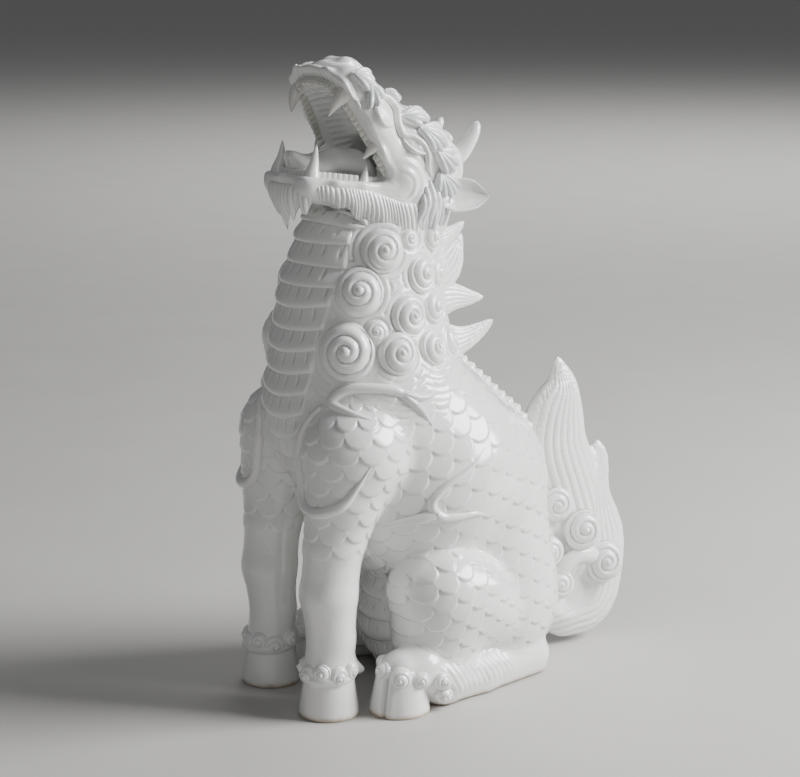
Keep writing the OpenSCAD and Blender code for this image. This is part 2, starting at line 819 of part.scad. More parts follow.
right_side() brow_tufts();  // brow_tufts_right
left_side() horn();  // horn_left
right_side() horn();  // horn_right
left_side() ear();  // ear_left
right_side() ear();  // ear_right
centred() beard();
left_side() jaw_fringe();  // jaw_fringe_left
right_side() jaw_fringe();  // jaw_fringe_right
left_side() cheek_locks();  // cheek_locks_left
right_side() cheek_locks();  // cheek_locks_right
left_side() mane_curls();  // mane_curls_left
right_side() mane_curls();  // mane_curls_right
centred() nape_flames();
centred() tail();
left_side() tail_curls();  // tail_curls_left
right_side() tail_curls();  // tail_curls_right
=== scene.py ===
"""A seated guardian beast in white glazed porcelain, on a pale floor.

Lengths are in millimetres until a mesh is made. The figure faces -Y, its left side is +X, and the ground is
z = 0. The body is one signed-distance field, built from tapered limbs between balls, so that the pieces meet
without a seam, as they do under a glaze. Ornaments are meshes of their own that are laid on that skin.
"""
import math
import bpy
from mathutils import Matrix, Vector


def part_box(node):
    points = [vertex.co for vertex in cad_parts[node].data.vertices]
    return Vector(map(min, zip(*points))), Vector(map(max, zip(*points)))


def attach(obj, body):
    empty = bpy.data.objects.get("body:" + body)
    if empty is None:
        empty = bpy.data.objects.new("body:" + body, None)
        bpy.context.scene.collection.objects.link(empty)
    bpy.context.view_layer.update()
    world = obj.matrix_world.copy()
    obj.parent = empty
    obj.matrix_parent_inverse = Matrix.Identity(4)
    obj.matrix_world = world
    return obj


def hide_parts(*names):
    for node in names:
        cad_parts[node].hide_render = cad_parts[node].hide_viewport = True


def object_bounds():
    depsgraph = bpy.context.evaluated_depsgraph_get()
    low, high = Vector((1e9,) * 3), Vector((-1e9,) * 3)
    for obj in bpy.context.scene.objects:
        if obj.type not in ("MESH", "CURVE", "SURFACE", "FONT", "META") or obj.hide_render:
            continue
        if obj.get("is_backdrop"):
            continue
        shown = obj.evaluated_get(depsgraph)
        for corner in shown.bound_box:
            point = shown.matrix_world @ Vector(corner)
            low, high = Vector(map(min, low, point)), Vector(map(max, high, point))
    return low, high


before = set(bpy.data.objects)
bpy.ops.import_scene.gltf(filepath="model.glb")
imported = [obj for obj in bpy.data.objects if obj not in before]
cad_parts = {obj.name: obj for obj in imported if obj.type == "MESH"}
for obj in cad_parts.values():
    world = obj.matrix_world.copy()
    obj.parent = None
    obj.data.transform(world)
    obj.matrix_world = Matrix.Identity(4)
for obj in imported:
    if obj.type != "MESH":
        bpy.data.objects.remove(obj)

from concurrent.futures import ThreadPoolExecutor

import bpy
import numpy as np
import openvdb
from mathutils import Vector

cad_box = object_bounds()
MM = 0.001


# --- landmarks, as the CAD frame has them ---
def box_mm(node):
    """A CAD node's lowest and highest corners, in millimetres."""
    low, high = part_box(node)
    return np.array(low) / MM, np.array(high) / MM


def foot_centre(node):
    low, high = box_mm(node)
    return np.array([(low[0] + high[0]) / 2, (low[1] + high[1]) / 2, 0.0])


FORE_HOOF = foot_centre("fore_hoof_left")
HIND_HOOF = foot_centre("hind_hoof_left")
SEAT = np.array([0, FORE_HOOF[1] + 193, 76.0])
LOIN = SEAT + [0, -12, 114]
RIB = SEAT + [0, -68, 134]
CHEST = SEAT + [0, -120, 207]
GROIN = SEAT + [0, -46, -14]
THROAT = CHEST + [0, 14.6, 182]
HINGE = THROAT + [0, -8, 22]
SHOULDER = FORE_HOOF + [3, 26, 247]
ELBOW = FORE_HOOF + [5, 14, 205]
THIGH = np.array([70, SEAT[1] - 58, 92.0])
HEEL = HIND_HOOF + [-36, 170, 0]
TAIL = SEAT + [0, 78, -36]
UPPER_ANGLE = math.radians(60)
LOWER_ANGLE = math.radians(7)


def at(point, r):
    """A ball: a centre and a radius."""
    return (*point, r)


def jaw_axes(angle):
    """Two directions of a jaw: along it towards the lip, and away from its underside."""
    along = np.array([0, -math.cos(angle), math.sin(angle)])
    away = np.array([0, math.sin(angle), math.cos(angle)])
    return along, away


UP_U, UP_N = jaw_axes(UPPER_ANGLE)
LOW_U, LOW_N = jaw_axes(LOWER_ANGLE)


def upper(x, u, n):
    """A point of the upper jaw: sideways, along the jaw from its hinge, and away from the mouth."""
    return HINGE + np.array([x, 0, 0]) + u * UP_U + n * UP_N


def lower(x, u, n):
    """A point of the lower jaw: sideways, along the jaw from its hinge, and up."""
    return HINGE + np.array([x, 0, 0]) + u * LOW_U + n * LOW_N


def up_ball(x, u, n, r):
    return at(upper(x, u, n), r)


def low_ball(x, u, n, r):
    return at(lower(x, u, n), r)


def measured(p, origin, axis):
    """How far the points lie from the origin along an axis."""
    return (p - origin.astype(np.float32)) @ axis.astype(np.float32)


def distance(p, centre):
    rel = p - np.asarray(centre, np.float32)
    return np.sqrt((rel * rel).sum(1))


# --- signed distances ---
def in_chunks(field, p, size=40000):
    """field(p), a chunk of points at a time, on several cores."""
    if len(p) <= size:
        return field(p)
    with ThreadPoolExecutor(4) as pool:
        parts = list(pool.map(lambda start: field(p[start:start + size]), range(0, len(p), size)))
    return np.concatenate(parts)


def ball_pair(p, a, b):
    """Signed distance to the hull of two balls, each (x, y, z, r)."""
    a = np.asarray(a, np.float32)
    b = np.asarray(b, np.float32)
    axis = b[:3] - a[:3]
    length = float(np.linalg.norm(axis))
    lean = float(a[3] - b[3]) / length
    side = math.sqrt(max(1 - lean * lean, 1e-6))
    from_a = p - a[:3]
    h = from_a @ (axis / length)
    q = np.sqrt(np.maximum((from_a * from_a).sum(1) - h * h, 0))
    k = side * h - lean * q
    cone = q * side + h * lean - a[3]
    near_a = np.hypot(q, h) - a[3]
    near_b = np.hypot(q, h - length) - b[3]
    return np.where(k < 0, near_a, np.where(k > side * length, near_b, cone))


def ellipsoid(p, centre, radii):
    """An approximate signed distance to an ellipsoid along the axes."""
    q = (p - np.asarray(centre, np.float32)) / np.asarray(radii, np.float32)
    k0 = np.sqrt((q * q).sum(1)) + 1e-6
    q /= np.asarray(radii, np.float32)
    k1 = np.sqrt((q * q).sum(1)) + 1e-9
    return k0 * (k0 - 1) / k1


def ellipsoid_in(p, centre, radii, along, away):
    """An ellipsoid whose second and third radii lie along a jaw's two directions."""
    rel = p - np.asarray(centre, np.float32)
    turned = np.stack([rel[:, 0], rel @ along.astype(np.float32), rel @ away.astype(np.float32)], 1)
    return ellipsoid(turned, (0, 0, 0), radii)


def join(a, b, k):
    """Smooth union: the crease between a and b is filled over about k millimetres."""
    h = np.maximum(k - np.abs(a - b), 0) / k
    return np.minimum(a, b) - h * h * k * 0.25


def carve(a, b, k):
    """a with b taken out, with an edge rounded over about k millimetres."""
    return -join(-a, b, k)


def limb(p, balls, k=6.0):
    """A limb through a row of balls."""
    d = ball_pair(p, balls[0], balls[1])
    for one, two in zip(balls[1:-1], balls[2:]):
        d = join(d, ball_pair(p, one, two), k)
    return d


def grown(p, d, limbs):
    """The field d with short limbs joined on: each is two balls, and how wide its crease is filled."""
    for one, two, k in limbs:
        d = join(d, ball_pair(p, one, two), k)
    return d


# --- the body's masses ---
def neck_ball(t, back=0.0):
    centre = CHEST + t * (THROAT - CHEST) + [0, -16 * math.sin(math.pi * t), 0]
    r = 92 - 36 * t ** 0.8
    swell = 20 * math.sin(math.radians(150 * t + 20)) * back
    return at(centre + [0, swell, 0], r - 6 * back)


RIDGE = [at(RIB + q, 14) for q in ((0, 18, 84), (0, 43, 74))]
RIDGE += [at(LOIN + q, 14) for q in ((0, 12, 77), (0, 27, 60), (0, 43, 46), (0, 56, 29), (0, 66, 4))]
RUMP_BALL = at(SEAT, 86)
LOIN_BALL = at(LOIN, 82)
BELLY_BALL = at(GROIN, 66)


def trunk_field(p):
    d = limb(p, [RUMP_BALL, LOIN_BALL, at(RIB, 104), at(CHEST, 92)], 10)
    d = grown(p, d, [(BELLY_BALL, RUMP_BALL, 10), (BELLY_BALL, LOIN_BALL, 10)])
    return join(d, limb(p, RIDGE, 4), 18)


def neck_field(p):
    steps = np.linspace(0, 1, 5)
    front = limb(p, [neck_ball(t) for t in steps], 4)
    back = limb(p, [neck_ball(t, 1.0) for t in steps], 4)
    return join(front, back, 6)


LEG = [at(SHOULDER, 49), at(ELBOW, 35)]
SHIN = (((2, 5, 160), 27), ((1, 0, 116), 26.5), ((0, 3, 72), 22), ((0, 0, 44), 23.5))
LEG += [at(FORE_HOOF + q, r) for q, r in SHIN]


def foreleg_field(p):
    d = limb(p, LEG, 5)
    spur = ball_pair(p, at(FORE_HOOF + [0, 12, 46], 14), at(FORE_HOOF + [0, 34, 37], 4))
    return join(d, spur, 9)


def thigh_field(p):
    top = at(THIGH + [-4, 4, 6], 44)
    front = at(THIGH + [0, -26, 14], 42)
    back = at(THIGH + [-14, 30, -14], 42)
    low = at(THIGH + [-6, -24, -38], 35)
    return grown(p, ball_pair(p, front, back), [(top, low, 16), (front, low, 16)])


def hind_foot_field(p):
    middle = HIND_HOOF + 0.55 * (HEEL - HIND_HOOF)
    toes = [at(HIND_HOOF + q, r) for q, r in (((0, 2, 38), 21), ((-2, 22, 36), 25), ((0, 46, 22), 25))]
    return limb(p, toes + [at(middle + [4, 0, 16], 26), at(HEEL + [2, -4, 16], 26)], 6)


UPPER_LIP = [upper(*q) for q in ((0, 121, -3), (28, 118, -3), (46, 107, -4), (56, 87, -7), (60, 64, -9),
                                 (56, 38, -6), (50, 16, -3))]
CORNER = [upper(46, 0, -4), lower(45, -2, 6)]
LOWER_LIP = [lower(*q) for q in ((47, 14, 1), (49, 38, 0), (45, 62, -1), (32, 84, -1), (0, 92, -1))]
EYE = upper(58, 26, 29.5)
EYE_ALONG = upper(2.5, 12.5, -6) - HINGE
EYE_ALONG = EYE_ALONG / np.linalg.norm(EYE_ALONG)


def lip_field(p, path, r=5.6):
    return limb(p, [at(q, r) for q in path], 6)


SNOUT = [
    (up_ball(33, 101, 8, 16), up_ball(44, 66, 8, 17), 6),
    (up_ball(44, 66, 8, 17), up_ball(38, 16, 12, 20), 7),
    (up_ball(0, 98, 22, 17), up_ball(0, 62, 30, 22), 8),
    (up_ball(0, 62, 30, 22), up_ball(0, 8, 48, 30), 8),
    (up_ball(26, 66, 22, 20), up_ball(26, 10, 38, 28), 10),
    (up_ball(0, 66, 12, 16), up_ball(0, 10, 16, 30), 10)
]
CROWN = up_ball(20, -16, 50, 28)
NAPE = at(THROAT + [0, 14, 0], 52)
CRANIUM = [
    (CROWN, up_ball(27, 21, 33, 30.5), 9),
    (CROWN, NAPE, 12),
    (up_ball(30, 6, 14, 24), NAPE, 12),
    (at(HINGE + [30, 8, -12], 22), up_ball(32, 8, 16, 24), 9),
    (up_ball(44, 6, 12, 17), at(HINGE + [43, 20, -14], 16), 8)
]


def skull_field(p):
    d = ball_pair(p, up_ball(0, 106, 8, 17), up_ball(33, 101, 8, 16))
    return join(grown(p, d, SNOUT + CRANIUM), lip_field(p, UPPER_LIP + CORNER[:1]), 5)


def lower_jaw_field(p):
    rail = [low_ball(0, 84, -8, 11), low_ball(30, 80, -8, 11), low_ball(40, 50, -8, 11),
            low_ball(42, 2, -9, 14)]
    chin = [(low_ball(0, 70, -14, 9), low_ball(0, 6, -18, 14), 12),
            (low_ball(22, 68, -14, 9), low_ball(24, 6, -18, 13), 12)]
    return join(grown(p, limb(p, rail, 8), chin), lip_field(p, CORNER[1:] + LOWER_LIP), 5)


def nose_field(p):
    d = ball_pair(p, up_ball(0, 100, 30, 13), up_ball(0, 84, 40, 10))
    d = join(d, ball_pair(p, up_ball(13, 108, 24, 10), up_ball(14, 94, 32, 9)), 8)
    nostril = ball_pair(p, up_ball(14.5, 104, 40, 3.8), up_ball(14, 98, 29, 3.4))
    return carve(d, nostril, 3)


def mouth_field(p):
    """The hollow of the open mouth."""
    gape = -join(-(measured(p, HINGE, UP_N) + 3), measured(p, HINGE, LOW_N) - 1, 18)
    palate = ellipsoid_in(p, upper(0, 58, -4), (40, 54, 15), UP_U, UP_N)
    floor = ellipsoid_in(p, lower(0, 44, 3), (33, 44, 11), LOW_U, LOW_N)
    gullet = ball_pair(p, at(HINGE + [0, -14, 14], 26), at(HINGE + [0, 20, -14], 16))
    inner = join(join(palate, floor, 6), gullet, 10)
    return join(np.maximum(gape, p[:, 0] - 200), inner, 5)


# Each mass: its field, how far it melts into the ones before it, and its box on the left side
MASSES = {
    "trunk": (trunk_field, 0, (-4, -202, -4), (112, 112, 382)),
    "neck": (neck_field, 8, (-4, -205, 180), (100, 30, 540)),
    "foreleg": (foreleg_field, 12, (2, -212, -4), (116, -90, 310)),
    "thigh": (thigh_field, 7, (14, -120, -4), (122, 50, 190)),
    "hind_foot": (hind_foot_field, 7, (16, -150, -4), (122, 100, 70)),
    "skull": (skull_field, 9, (-4, -190, 390), (84, 10, 624)),
    "lower_jaw": (lower_jaw_field, 8, (-4, -212, 400), (72, -40, 520)),
    "nose": (nose_field, 5, (-4, -180, 540), (40, -60, 624)),
}
BEYOND = 80.0   # the distance given for whatever is further off than the reach
REACH = 38.0


def near_box(p, low, high):
    above = p > np.array(low, np.float32) - REACH
    below = p < np.array(high, np.float32) + REACH
    return np.all(above & below, axis=1)


def near_only(field, low, high, p):
    """The field near its box, and a large distance elsewhere, which saves most of the work."""
    d = np.full(len(p), BEYOND, np.float32)
    near = near_box(p, low, high)
    if near.any():
        d[near] = field(p[near])
    return d


def figure(p):
    """The fused skin's field at each point, and each mass's own field."""
    q = np.array(p, np.float32)
    q[:, 0] = np.abs(q[:, 0])
    own = {}
    d = np.full(len(q), BEYOND, np.float32)
    for name, (field, melt, low, high) in MASSES.items():
        own[name] = near_only(field, low, high, q)
        d = join(d, own[name], melt) if melt else own[name]
    head = near_box(q, *MASSES["skull"][2:]) | near_box(q, *MASSES["lower_jaw"][2:])
    if head.any():
        e = q[head]
        f = join(d[head], lip_field(e, UPPER_LIP[-1:] + CORNER + LOWER_LIP[:1]), 4)
        d[head] = carve(f, mouth_field(e), 5)
    return np.maximum(d, -q[:, 2]), own


def gradient(field, p, step=0.3):
    """By four samples at a tetrahedron's corners."""
    corners = np.array([(1, -1, -1), (-1, -1, 1), (-1, 1, -1), (1, 1, 1)], np.float32)
    g = np.zeros_like(p)
    for corner in corners:
        g += corner * field(p + step * corner)[:, None]
    return g / (4 * step)


def skin(p):
    return figure(p)[0]


def move_to(field, p, rounds, reach=12.0):
    """Newton steps that bring the points to where the field is zero."""
    for _ in range(rounds):
        g = gradient(field, p)
        p = p - g * (np.clip(field(p), -reach, reach) / np.maximum((g * g).sum(1), 0.08))[:, None]
    return p


def unit(v):
    v = np.asarray(v, np.float32)
    return v / np.maximum(np.linalg.norm(v, axis=-1, keepdims=True), 1e-9)


def to_skin(p, rounds=3):
    """Moves points to the nearest skin, and gives the skin's normals there."""
    p = in_chunks(lambda q: move_to(skin, q, rounds), np.array(p, np.float32))
    return p, unit(in_chunks(lambda q: gradient(skin, q), p))


# --- meshes ---
def surface_of(field, low, high, step):
    """Quads round the space where the field is negative. Blocks well away from the surface are left out."""
    low = np.asarray(low, np.float32)
    block = 4
    blocks = np.ceil((np.asarray(high) - low) / (step * block)).astype(int) + 1
    width = step * block
    middles = np.stack(np.meshgrid(*[low[i] + width * (np.arange(blocks[i]) + 0.5) for i in range(3)],
                                   indexing="ij"), -1).reshape(-1, 3).astype(np.float32)
    at_middle = in_chunks(field, middles)
    far_off = 3 * step
    values = np.empty((*blocks, block, block, block), np.float32)
    values[:] = np.clip(at_middle, -far_off, far_off).reshape(blocks)[..., None, None, None]
    open_block = np.abs(at_middle) < 1.9 * width
    offsets = np.stack(np.meshgrid(*[step * np.arange(block)] * 3, indexing="ij"), -1).reshape(-1, 3)
    starts = middles[open_block] - width / 2
    fine = in_chunks(field, (starts[:, None] + offsets.astype(np.float32)).reshape(-1, 3))
    values[open_block.reshape(blocks)] = np.clip(fine, -far_off, far_off).reshape(-1, block, block, block)
    whole = values.transpose(0, 3, 1, 4, 2, 5).reshape(blocks * block)
    grid = openvdb.FloatGrid(far_off)
    grid.copyFromArray(np.ascontiguousarray(whole))
    points, quads = grid.convertToQuads(0)
    return points.astype(np.float32) * step + low, quads.astype(np.int64)


def new_mesh(name, points, faces):
    """A mesh from points in millimetres and a list of arrays of triangles or quads."""
    mesh = bpy.data.meshes.new(name)
    corners = np.concatenate([f.reshape(-1) for f in faces]).astype(np.int32)
    sizes = np.concatenate([np.full(len(f), f.shape[1]) for f in faces])
    mesh.vertices.add(len(points))
    mesh.vertices.foreach_set("co", (np.asarray(points, np.float32) * MM).reshape(-1))
    mesh.loops.add(len(corners))
    mesh.loops.foreach_set("vertex_index", corners)
    mesh.polygons.add(len(sizes))
    mesh.polygons.foreach_set("loop_start", (np.cumsum(sizes) - sizes).astype(np.int32))
    mesh.update(calc_edges=True)
    mesh.validate()
    mesh.polygons.foreach_set("use_smooth", np.ones(len(mesh.polygons), bool))
    return mesh


def refine(points, quads):
    """One round of Catmull-Clark subdivision, by Blender's own modifier."""
    mesh = new_mesh("refining", points / MM, [quads])
    lump = bpy.data.objects.new("refining", mesh)
    bpy.context.scene.collection.objects.link(lump)
    lump.modifiers.new("subdivision", "SUBSURF").levels = 1
    evaluated = lump.evaluated_get(bpy.context.evaluated_depsgraph_get())
    done = evaluated.to_mesh()
    v = np.empty(len(done.vertices) * 3, np.float32)
    done.vertices.foreach_get("co", v)
    f = np.empty(len(done.loops), np.int32)
    done.loops.foreach_get("vertex_index", f)
    evaluated.to_mesh_clear()
    bpy.data.objects.remove(lump)
    bpy.data.meshes.remove(mesh)
    return v.reshape(-1, 3), f.reshape(-1, 4).astype(np.int64)


def outward(points, faces):
    """The faces, turned so that they look out of the closed part."""
    volume = 0.0
    for f in faces:
        a = points[f[:, 0]]
        for k in range(1, f.shape[1] - 1):
            volume += float((a * np.cross(points[f[:, k]], points[f[:, k + 1]])).sum())
    return faces if volume > 0 else [f[:, ::-1] for f in faces]


def piece(name, parts, node, slot):
    """One object from closed (points, faces) parts in millimetres. It replaces a CAD node."""
    points, faces, base = [], [], 0
    for v, f in parts:
        f = outward(v, f if isinstance(f, list) else [f])
        points.append(np.asarray(v, np.float32))
        faces += [g + base for g in f]
        base += len(v)
    mesh = new_mesh(name, np.concatenate(points), faces)
    mesh.materials.append(GLAZES[slot])
    made = bpy.data.objects.new(name, mesh)
    bpy.context.scene.collection.objects.link(made)
    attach(made, "root")
    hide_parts(node)
    return made


def mirrored(part):
    """The same part on the other side of the midplane."""
    v = np.array(part[0], np.float32)
    v[:, 0] *= -1
    return v, part[1]


def both_sides(name, parts, slot):
    """The left piece and its mirror image."""
    piece(name + "_left_glazed", parts, name + "_left", slot)
    piece(name + "_right_glazed", [mirrored(part) for part in parts], name + "_right", slot)


def paired(parts):
    return parts + [mirrored(part) for part in parts]


def grid_faces(rows, columns, wrap):
    """Quads over a grid of rows x columns points, joined round its columns if it wraps."""
    index = np.arange(rows * columns).reshape(rows, columns)
    right = np.roll(index, -1, 1) if wrap else index[:, 1:]
    left = index if wrap else index[:, :-1]
    return np.stack([left[:-1], right[:-1], right[1:], left[1:]], -1).reshape(-1, 4)


def slab(front, back):
    """A closed part between two grids of points that face each other."""
    rows, columns = front.shape[:2]
    n = rows * columns
    faces = grid_faces(rows, columns, False)
    index = np.arange(n).reshape(rows, columns)
    rim = np.concatenate([index[0, :], index[1:, -1], index[-1, -2::-1], index[-2:0:-1, 0]])
    wall = np.stack([rim, rim + n, np.roll(rim, -1) + n, np.roll(rim, -1)], 1)
    points = np.concatenate([front.reshape(-1, 3), back.reshape(-1, 3)])
    return points.astype(np.float32), [faces, faces[:, ::-1] + n, wall]


def walked(points, step, per_span=12):
    """Places at even steps along a smooth line through the points, and how far along it each one is."""
    line = smooth_path(points, per_span)
    far = np.concatenate([[0], np.cumsum(np.linalg.norm(np.diff(line[:, :3], axis=0), axis=1))])
    walk = np.linspace(0, far[-1], max(int(round(far[-1] / step)), 2) + 1)
    return np.stack([np.interp(walk, far, line[:, i]) for i in range(line.shape[1])], 1), walk


def fan(centre, ring):
    """Triangles from a centre point to a ring of points."""
    ring = np.asarray(ring)
    return np.stack([np.full(len(ring), centre), ring, np.roll(ring, -1)], 1)


def smooth_path(points, per_span=8):
    """A Catmull-Rom curve through the points, which may carry any number of values each."""
    p = np.asarray(points, float)
    p = np.concatenate([2 * p[:1] - p[1:2], p, 2 * p[-1:] - p[-2:-1]])
    t = np.linspace(0, 1, per_span, endpoint=False)[:, None]
    spans = []
    for a, b, c, d in zip(p[:-3], p[1:-2], p[2:-1], p[3:]):
        bend = 2 * a - 5 * b + 4 * c - d
        twist = 3 * b - a - 3 * c + d
        spans.append(0.5 * (2 * b + (c - a) * t + bend * t ** 2 + twist * t ** 3))
    return np.concatenate(spans + [p[-2:-1]])


def tube(path, up, wide, high, sides=14, crest=0.0):
    """A closed tapering tube. wide lies across the path and high stands along up; crest pinches the top."""
    path = np.asarray(path, float)
    tangent = unit(np.gradient(path, axis=0))
    up = np.broadcast_to(np.asarray(up, float), path.shape)
    side = unit(np.cross(tangent, up))
    up = np.cross(side, tangent)
    angle = np.linspace(0, 2 * math.pi, sides, endpoint=False)
    across = np.cos(angle)
    above = np.sin(angle)
    above = above + crest * np.maximum(above, 0) ** 6
    wide = np.broadcast_to(wide, len(path))[:, None, None]
    high = np.broadcast_to(high, len(path))[:, None, None]
    ring = path[:, None] + side[:, None] * wide * across[:, None] + up[:, None] * high * above[:, None]
    points = np.concatenate([ring.reshape(-1, 3), path[:1], path[-1:]])
    n = len(path) * sides
    ends = [fan(n, np.arange(sides)), fan(n + 1, np.arange(n - sides, n)[::-1])]
    return points.astype(np.float32), [grid_faces(len(path), sides, True)] + ends


def profile(n, shares, values):
    """n values, read off a line through the values at their shares of the way."""
    return np.interp(np.linspace(0, 1, n), shares, values)


def laid(points, wide, high, lift=0.3, per_span=8, crest=0.0, taper=None):
    """A ribbon on the skin through the points, which are first brought to the skin."""
    path, normals = to_skin(smooth_path(points, per_span))
    n = len(path)
    shape = taper if taper is not None else np.sqrt(np.sin(np.linspace(0.02, 0.985, n) * math.pi))
    shape = profile(n, np.linspace(0, 1, len(shape)), shape)
    raised = path + normals * (lift * high * shape)[:, None]
    return tube(raised, normals, wide * shape, high * shape, crest=crest)


# --- relief on the skin ---
def smooth_step(low, high, x):
    t = np.clip((x - low) / (high - low), 0, 1)
    return t * t * (3 - 2 * t)


def scales(a, b, depth=0.62, soft=0.07):
    """Height from 0 to 1 of overlapping round scales, one to a unit, whose free edges point to smaller b."""
    row = np.floor(b)

    def edge(k):
        s = a + 0.5 * np.mod(k, 2)
        s = s - np.floor(s) - 0.5
        return k - depth * np.sqrt(np.maximum(1 - 4 * s * s, 0)), s

    upper_edge, s_up = edge(row + 1)
    lower_edge, s_low = edge(row)
    over = b - upper_edge
    tilt_up = 1 - 0.5 * over - 0.7 * s_up * s_up
    tilt_low = 1 - 0.5 * (b - lower_edge) - 0.7 * s_low * s_low
    mixed = smooth_step(-soft, soft, over)
    return tilt_low + (tilt_up - tilt_low) * mixed


TRUNK_AXIS = (CHEST - SEAT) / np.linalg.norm(CHEST - SEAT)
TRUNK_BACK = np.cross(TRUNK_AXIS, [-1, 0, 0])


def trunk_scales(p):
    round_it = np.arctan2(p[:, 0], measured(p, SEAT, TRUNK_BACK))
    return scales(round_it * 11.5 / math.pi + 0.5, measured(p, SEAT, TRUNK_AXIS) / 17.0, 0.7)


def leg_scales(p):
    around = np.arctan2(p[:, 0] - SHOULDER[0], p[:, 1] - SHOULDER[1])
    height = scales(around * 5.5 / math.pi, p[:, 2] / 15.0, 0.7)
    return 0.5 + (height - 0.5) * smooth_step(146, 166, p[:, 2])


def thigh_scales(p):
    y = p[:, 1] - THIGH[1]
    z = p[:, 2] - THIGH[2]
    turn = math.radians(24)
    a = y * math.cos(turn) + z * math.sin(turn)
    b = -y * math.sin(turn) + z * math.cos(turn)
    return scales(a / 22.0, b / 15.5, 0.7)


# The mane's curls on the left: a place from the chest's centre, a radius, and which way the snail winds
MANE = [
    (60, -16, 147, 19.5, 1), (60, -41, 111, 22, -1), (62, -55, 58, 25.5, 1), (60, 24, 122, 16.5, -1),
    (71, 4, 87, 18.5, 1), (72, -31, 75, 10.5, -1), (79, -12, 55, 19, 1), (50, 50, 122, 12, 1),
    (62, 38, 91, 14, -1), (72, 28, 55, 16.5, 1), (52, 63, 56, 13, -1), (59, 12, 156, 9, 1),
    (52, 44, 155, 12, -1)
]


def strands(phase):
    """Rounded strands with sharp creases between them, one to a unit."""
    return np.sqrt(np.abs(np.cos(math.pi * phase)))


def mane_waves(p):
    """Strands of hair that run round the nearest curl."""
    nearest = np.full(len(p), 1e3, np.float32)
    for x, y, z, r, _ in MANE:
        nearest = np.minimum(nearest, distance(p, CHEST + [x, y, z]) - 0.9 * r)
    at_back = smooth_step(-34, -16, p[:, 1] - CHEST[1] + 0.2 * (p[:, 2] - CHEST[2]))
    return strands(nearest / 6.5) * (0.35 + 0.65 * at_back)


def foot_hair(p):
    """Slanting locks along the outside of a hind foot."""
    sweep = p[:, 1] - HIND_HOOF[1] + 0.55 * p[:, 2]
    lengthwise = smooth_step(48, 62, sweep) * smooth_step(150, 128, sweep)
    return strands(sweep / 7.0) * lengthwise * smooth_step(46, 36, p[:, 2]) * smooth_step(6, 12, p[:, 2])


def ripples(r, start, pitch, fades):
    """Rings at a pitch, which fade in over the first two radii and out over the last two."""
    return np.cos(2 * math.pi * (r - start) / pitch) * smooth_step(*fades[:2], r) * smooth_step(*fades[2:], r)


def head_wrinkles(p):
    """Rings behind the mouth's corner, folds under the nose and a stippled patch in front of the eye."""
    corner = HINGE + [50, 0, 2]
    rel = p - corner.astype(np.float32)
    behind = smooth_step(-14, 4, rel[:, 1] - 0.35 * rel[:, 2])
    rings = ripples(distance(p, corner), 17, 6.5, (13, 16, 38, 30)) * behind * 0.55
    sides = smooth_step(14, 20, np.abs(p[:, 0]))
    folds = ripples(distance(p, upper(0, 112, 20)), 0, 5.2, (20, 24, 40, 35)) * sides * 0.45
    patch = upper(61, 67, 13)
    near = smooth_step(9, 6, distance(p, patch))
    lengthwise = measured(p, patch, UP_U)
    stipple = np.sin(lengthwise * 2.6) * np.sin(measured(p, patch, UP_N) * 2.6 + lengthwise) * near * 0.45
    return rings + folds + stipple


def mouth_relief(p):
    """Ribs across the palate."""
    u = measured(p, HINGE, UP_U)
    n = measured(p, HINGE, UP_N)
    inside = smooth_step(38, 32, np.abs(p[:, 0])) * smooth_step(12, 8, n) * smooth_step(-12, -6, n)
    return ripples(u, 0, 6.2, (14, 20, 104, 98)) * inside * 0.8


def head_hair(p):
    """Wavy strands that fall down the back of the head."""
    behind = smooth_step(38, 54, p[:, 1] - HINGE[1])
    return 2.2 * strands((p[:, 0] + 2.5 * np.sin(p[:, 2] / 11.0)) / 6.5) * behind


def relief(p, own):
    """How far the moulded detail stands above the plain skin."""
    q = p.copy()
    q[:, 0] = np.abs(q[:, 0])
    names = list(own)
    stacked = np.stack([own[name] for name in names])
    weights = np.exp(-(stacked - stacked.min(0)) / 2.0)
    weights /= weights.sum(0)
    weights = dict(zip(names, weights))
    head = weights["skull"] + weights["nose"] + weights["lower_jaw"]
    height = weights["trunk"] * trunk_scales(p) * 3.4
    height += weights["foreleg"] * leg_scales(q) * 3.0
    height += weights["thigh"] * thigh_scales(q) * 3.6
    height += weights["neck"] * (0.5 + 2.2 * mane_waves(q))
    height += weights["hind_foot"] * (1.2 + 1.7 * foot_hair(q))
    height += head * (1.5 + head_wrinkles(q) + mouth_relief(q) + head_hair(q))
    return height * smooth_step(8, 24, p[:, 2]) - 1.5


def mass_piece(name, step):
    """A mass's mesh: the fused skin where the mass is outermost, diving under the others beyond that."""
    def field(p):
        d, own = figure(p)
        others = np.min([f for other, f in own.items() if other != name], axis=0)
        return d + 0.45 * np.maximum(own[name] - others, 0)

    def dress(p):
        p = move_to(field, p, 2, 3.0)
        normals = unit(gradient(skin, p))
        return p + normals * relief(p, figure(p)[1])[:, None]

    low, high = np.array(MASSES[name][2], float), np.array(MASSES[name][3], float)
    if low[0] < 0:
        low[0] = -high[0]
    points, quads = surface_of(field, low, high, step)
    points, quads = refine(points, quads)
    points = in_chunks(dress, points)
    points[:, 2] = np.maximum(points[:, 2], 0)
    return points, quads


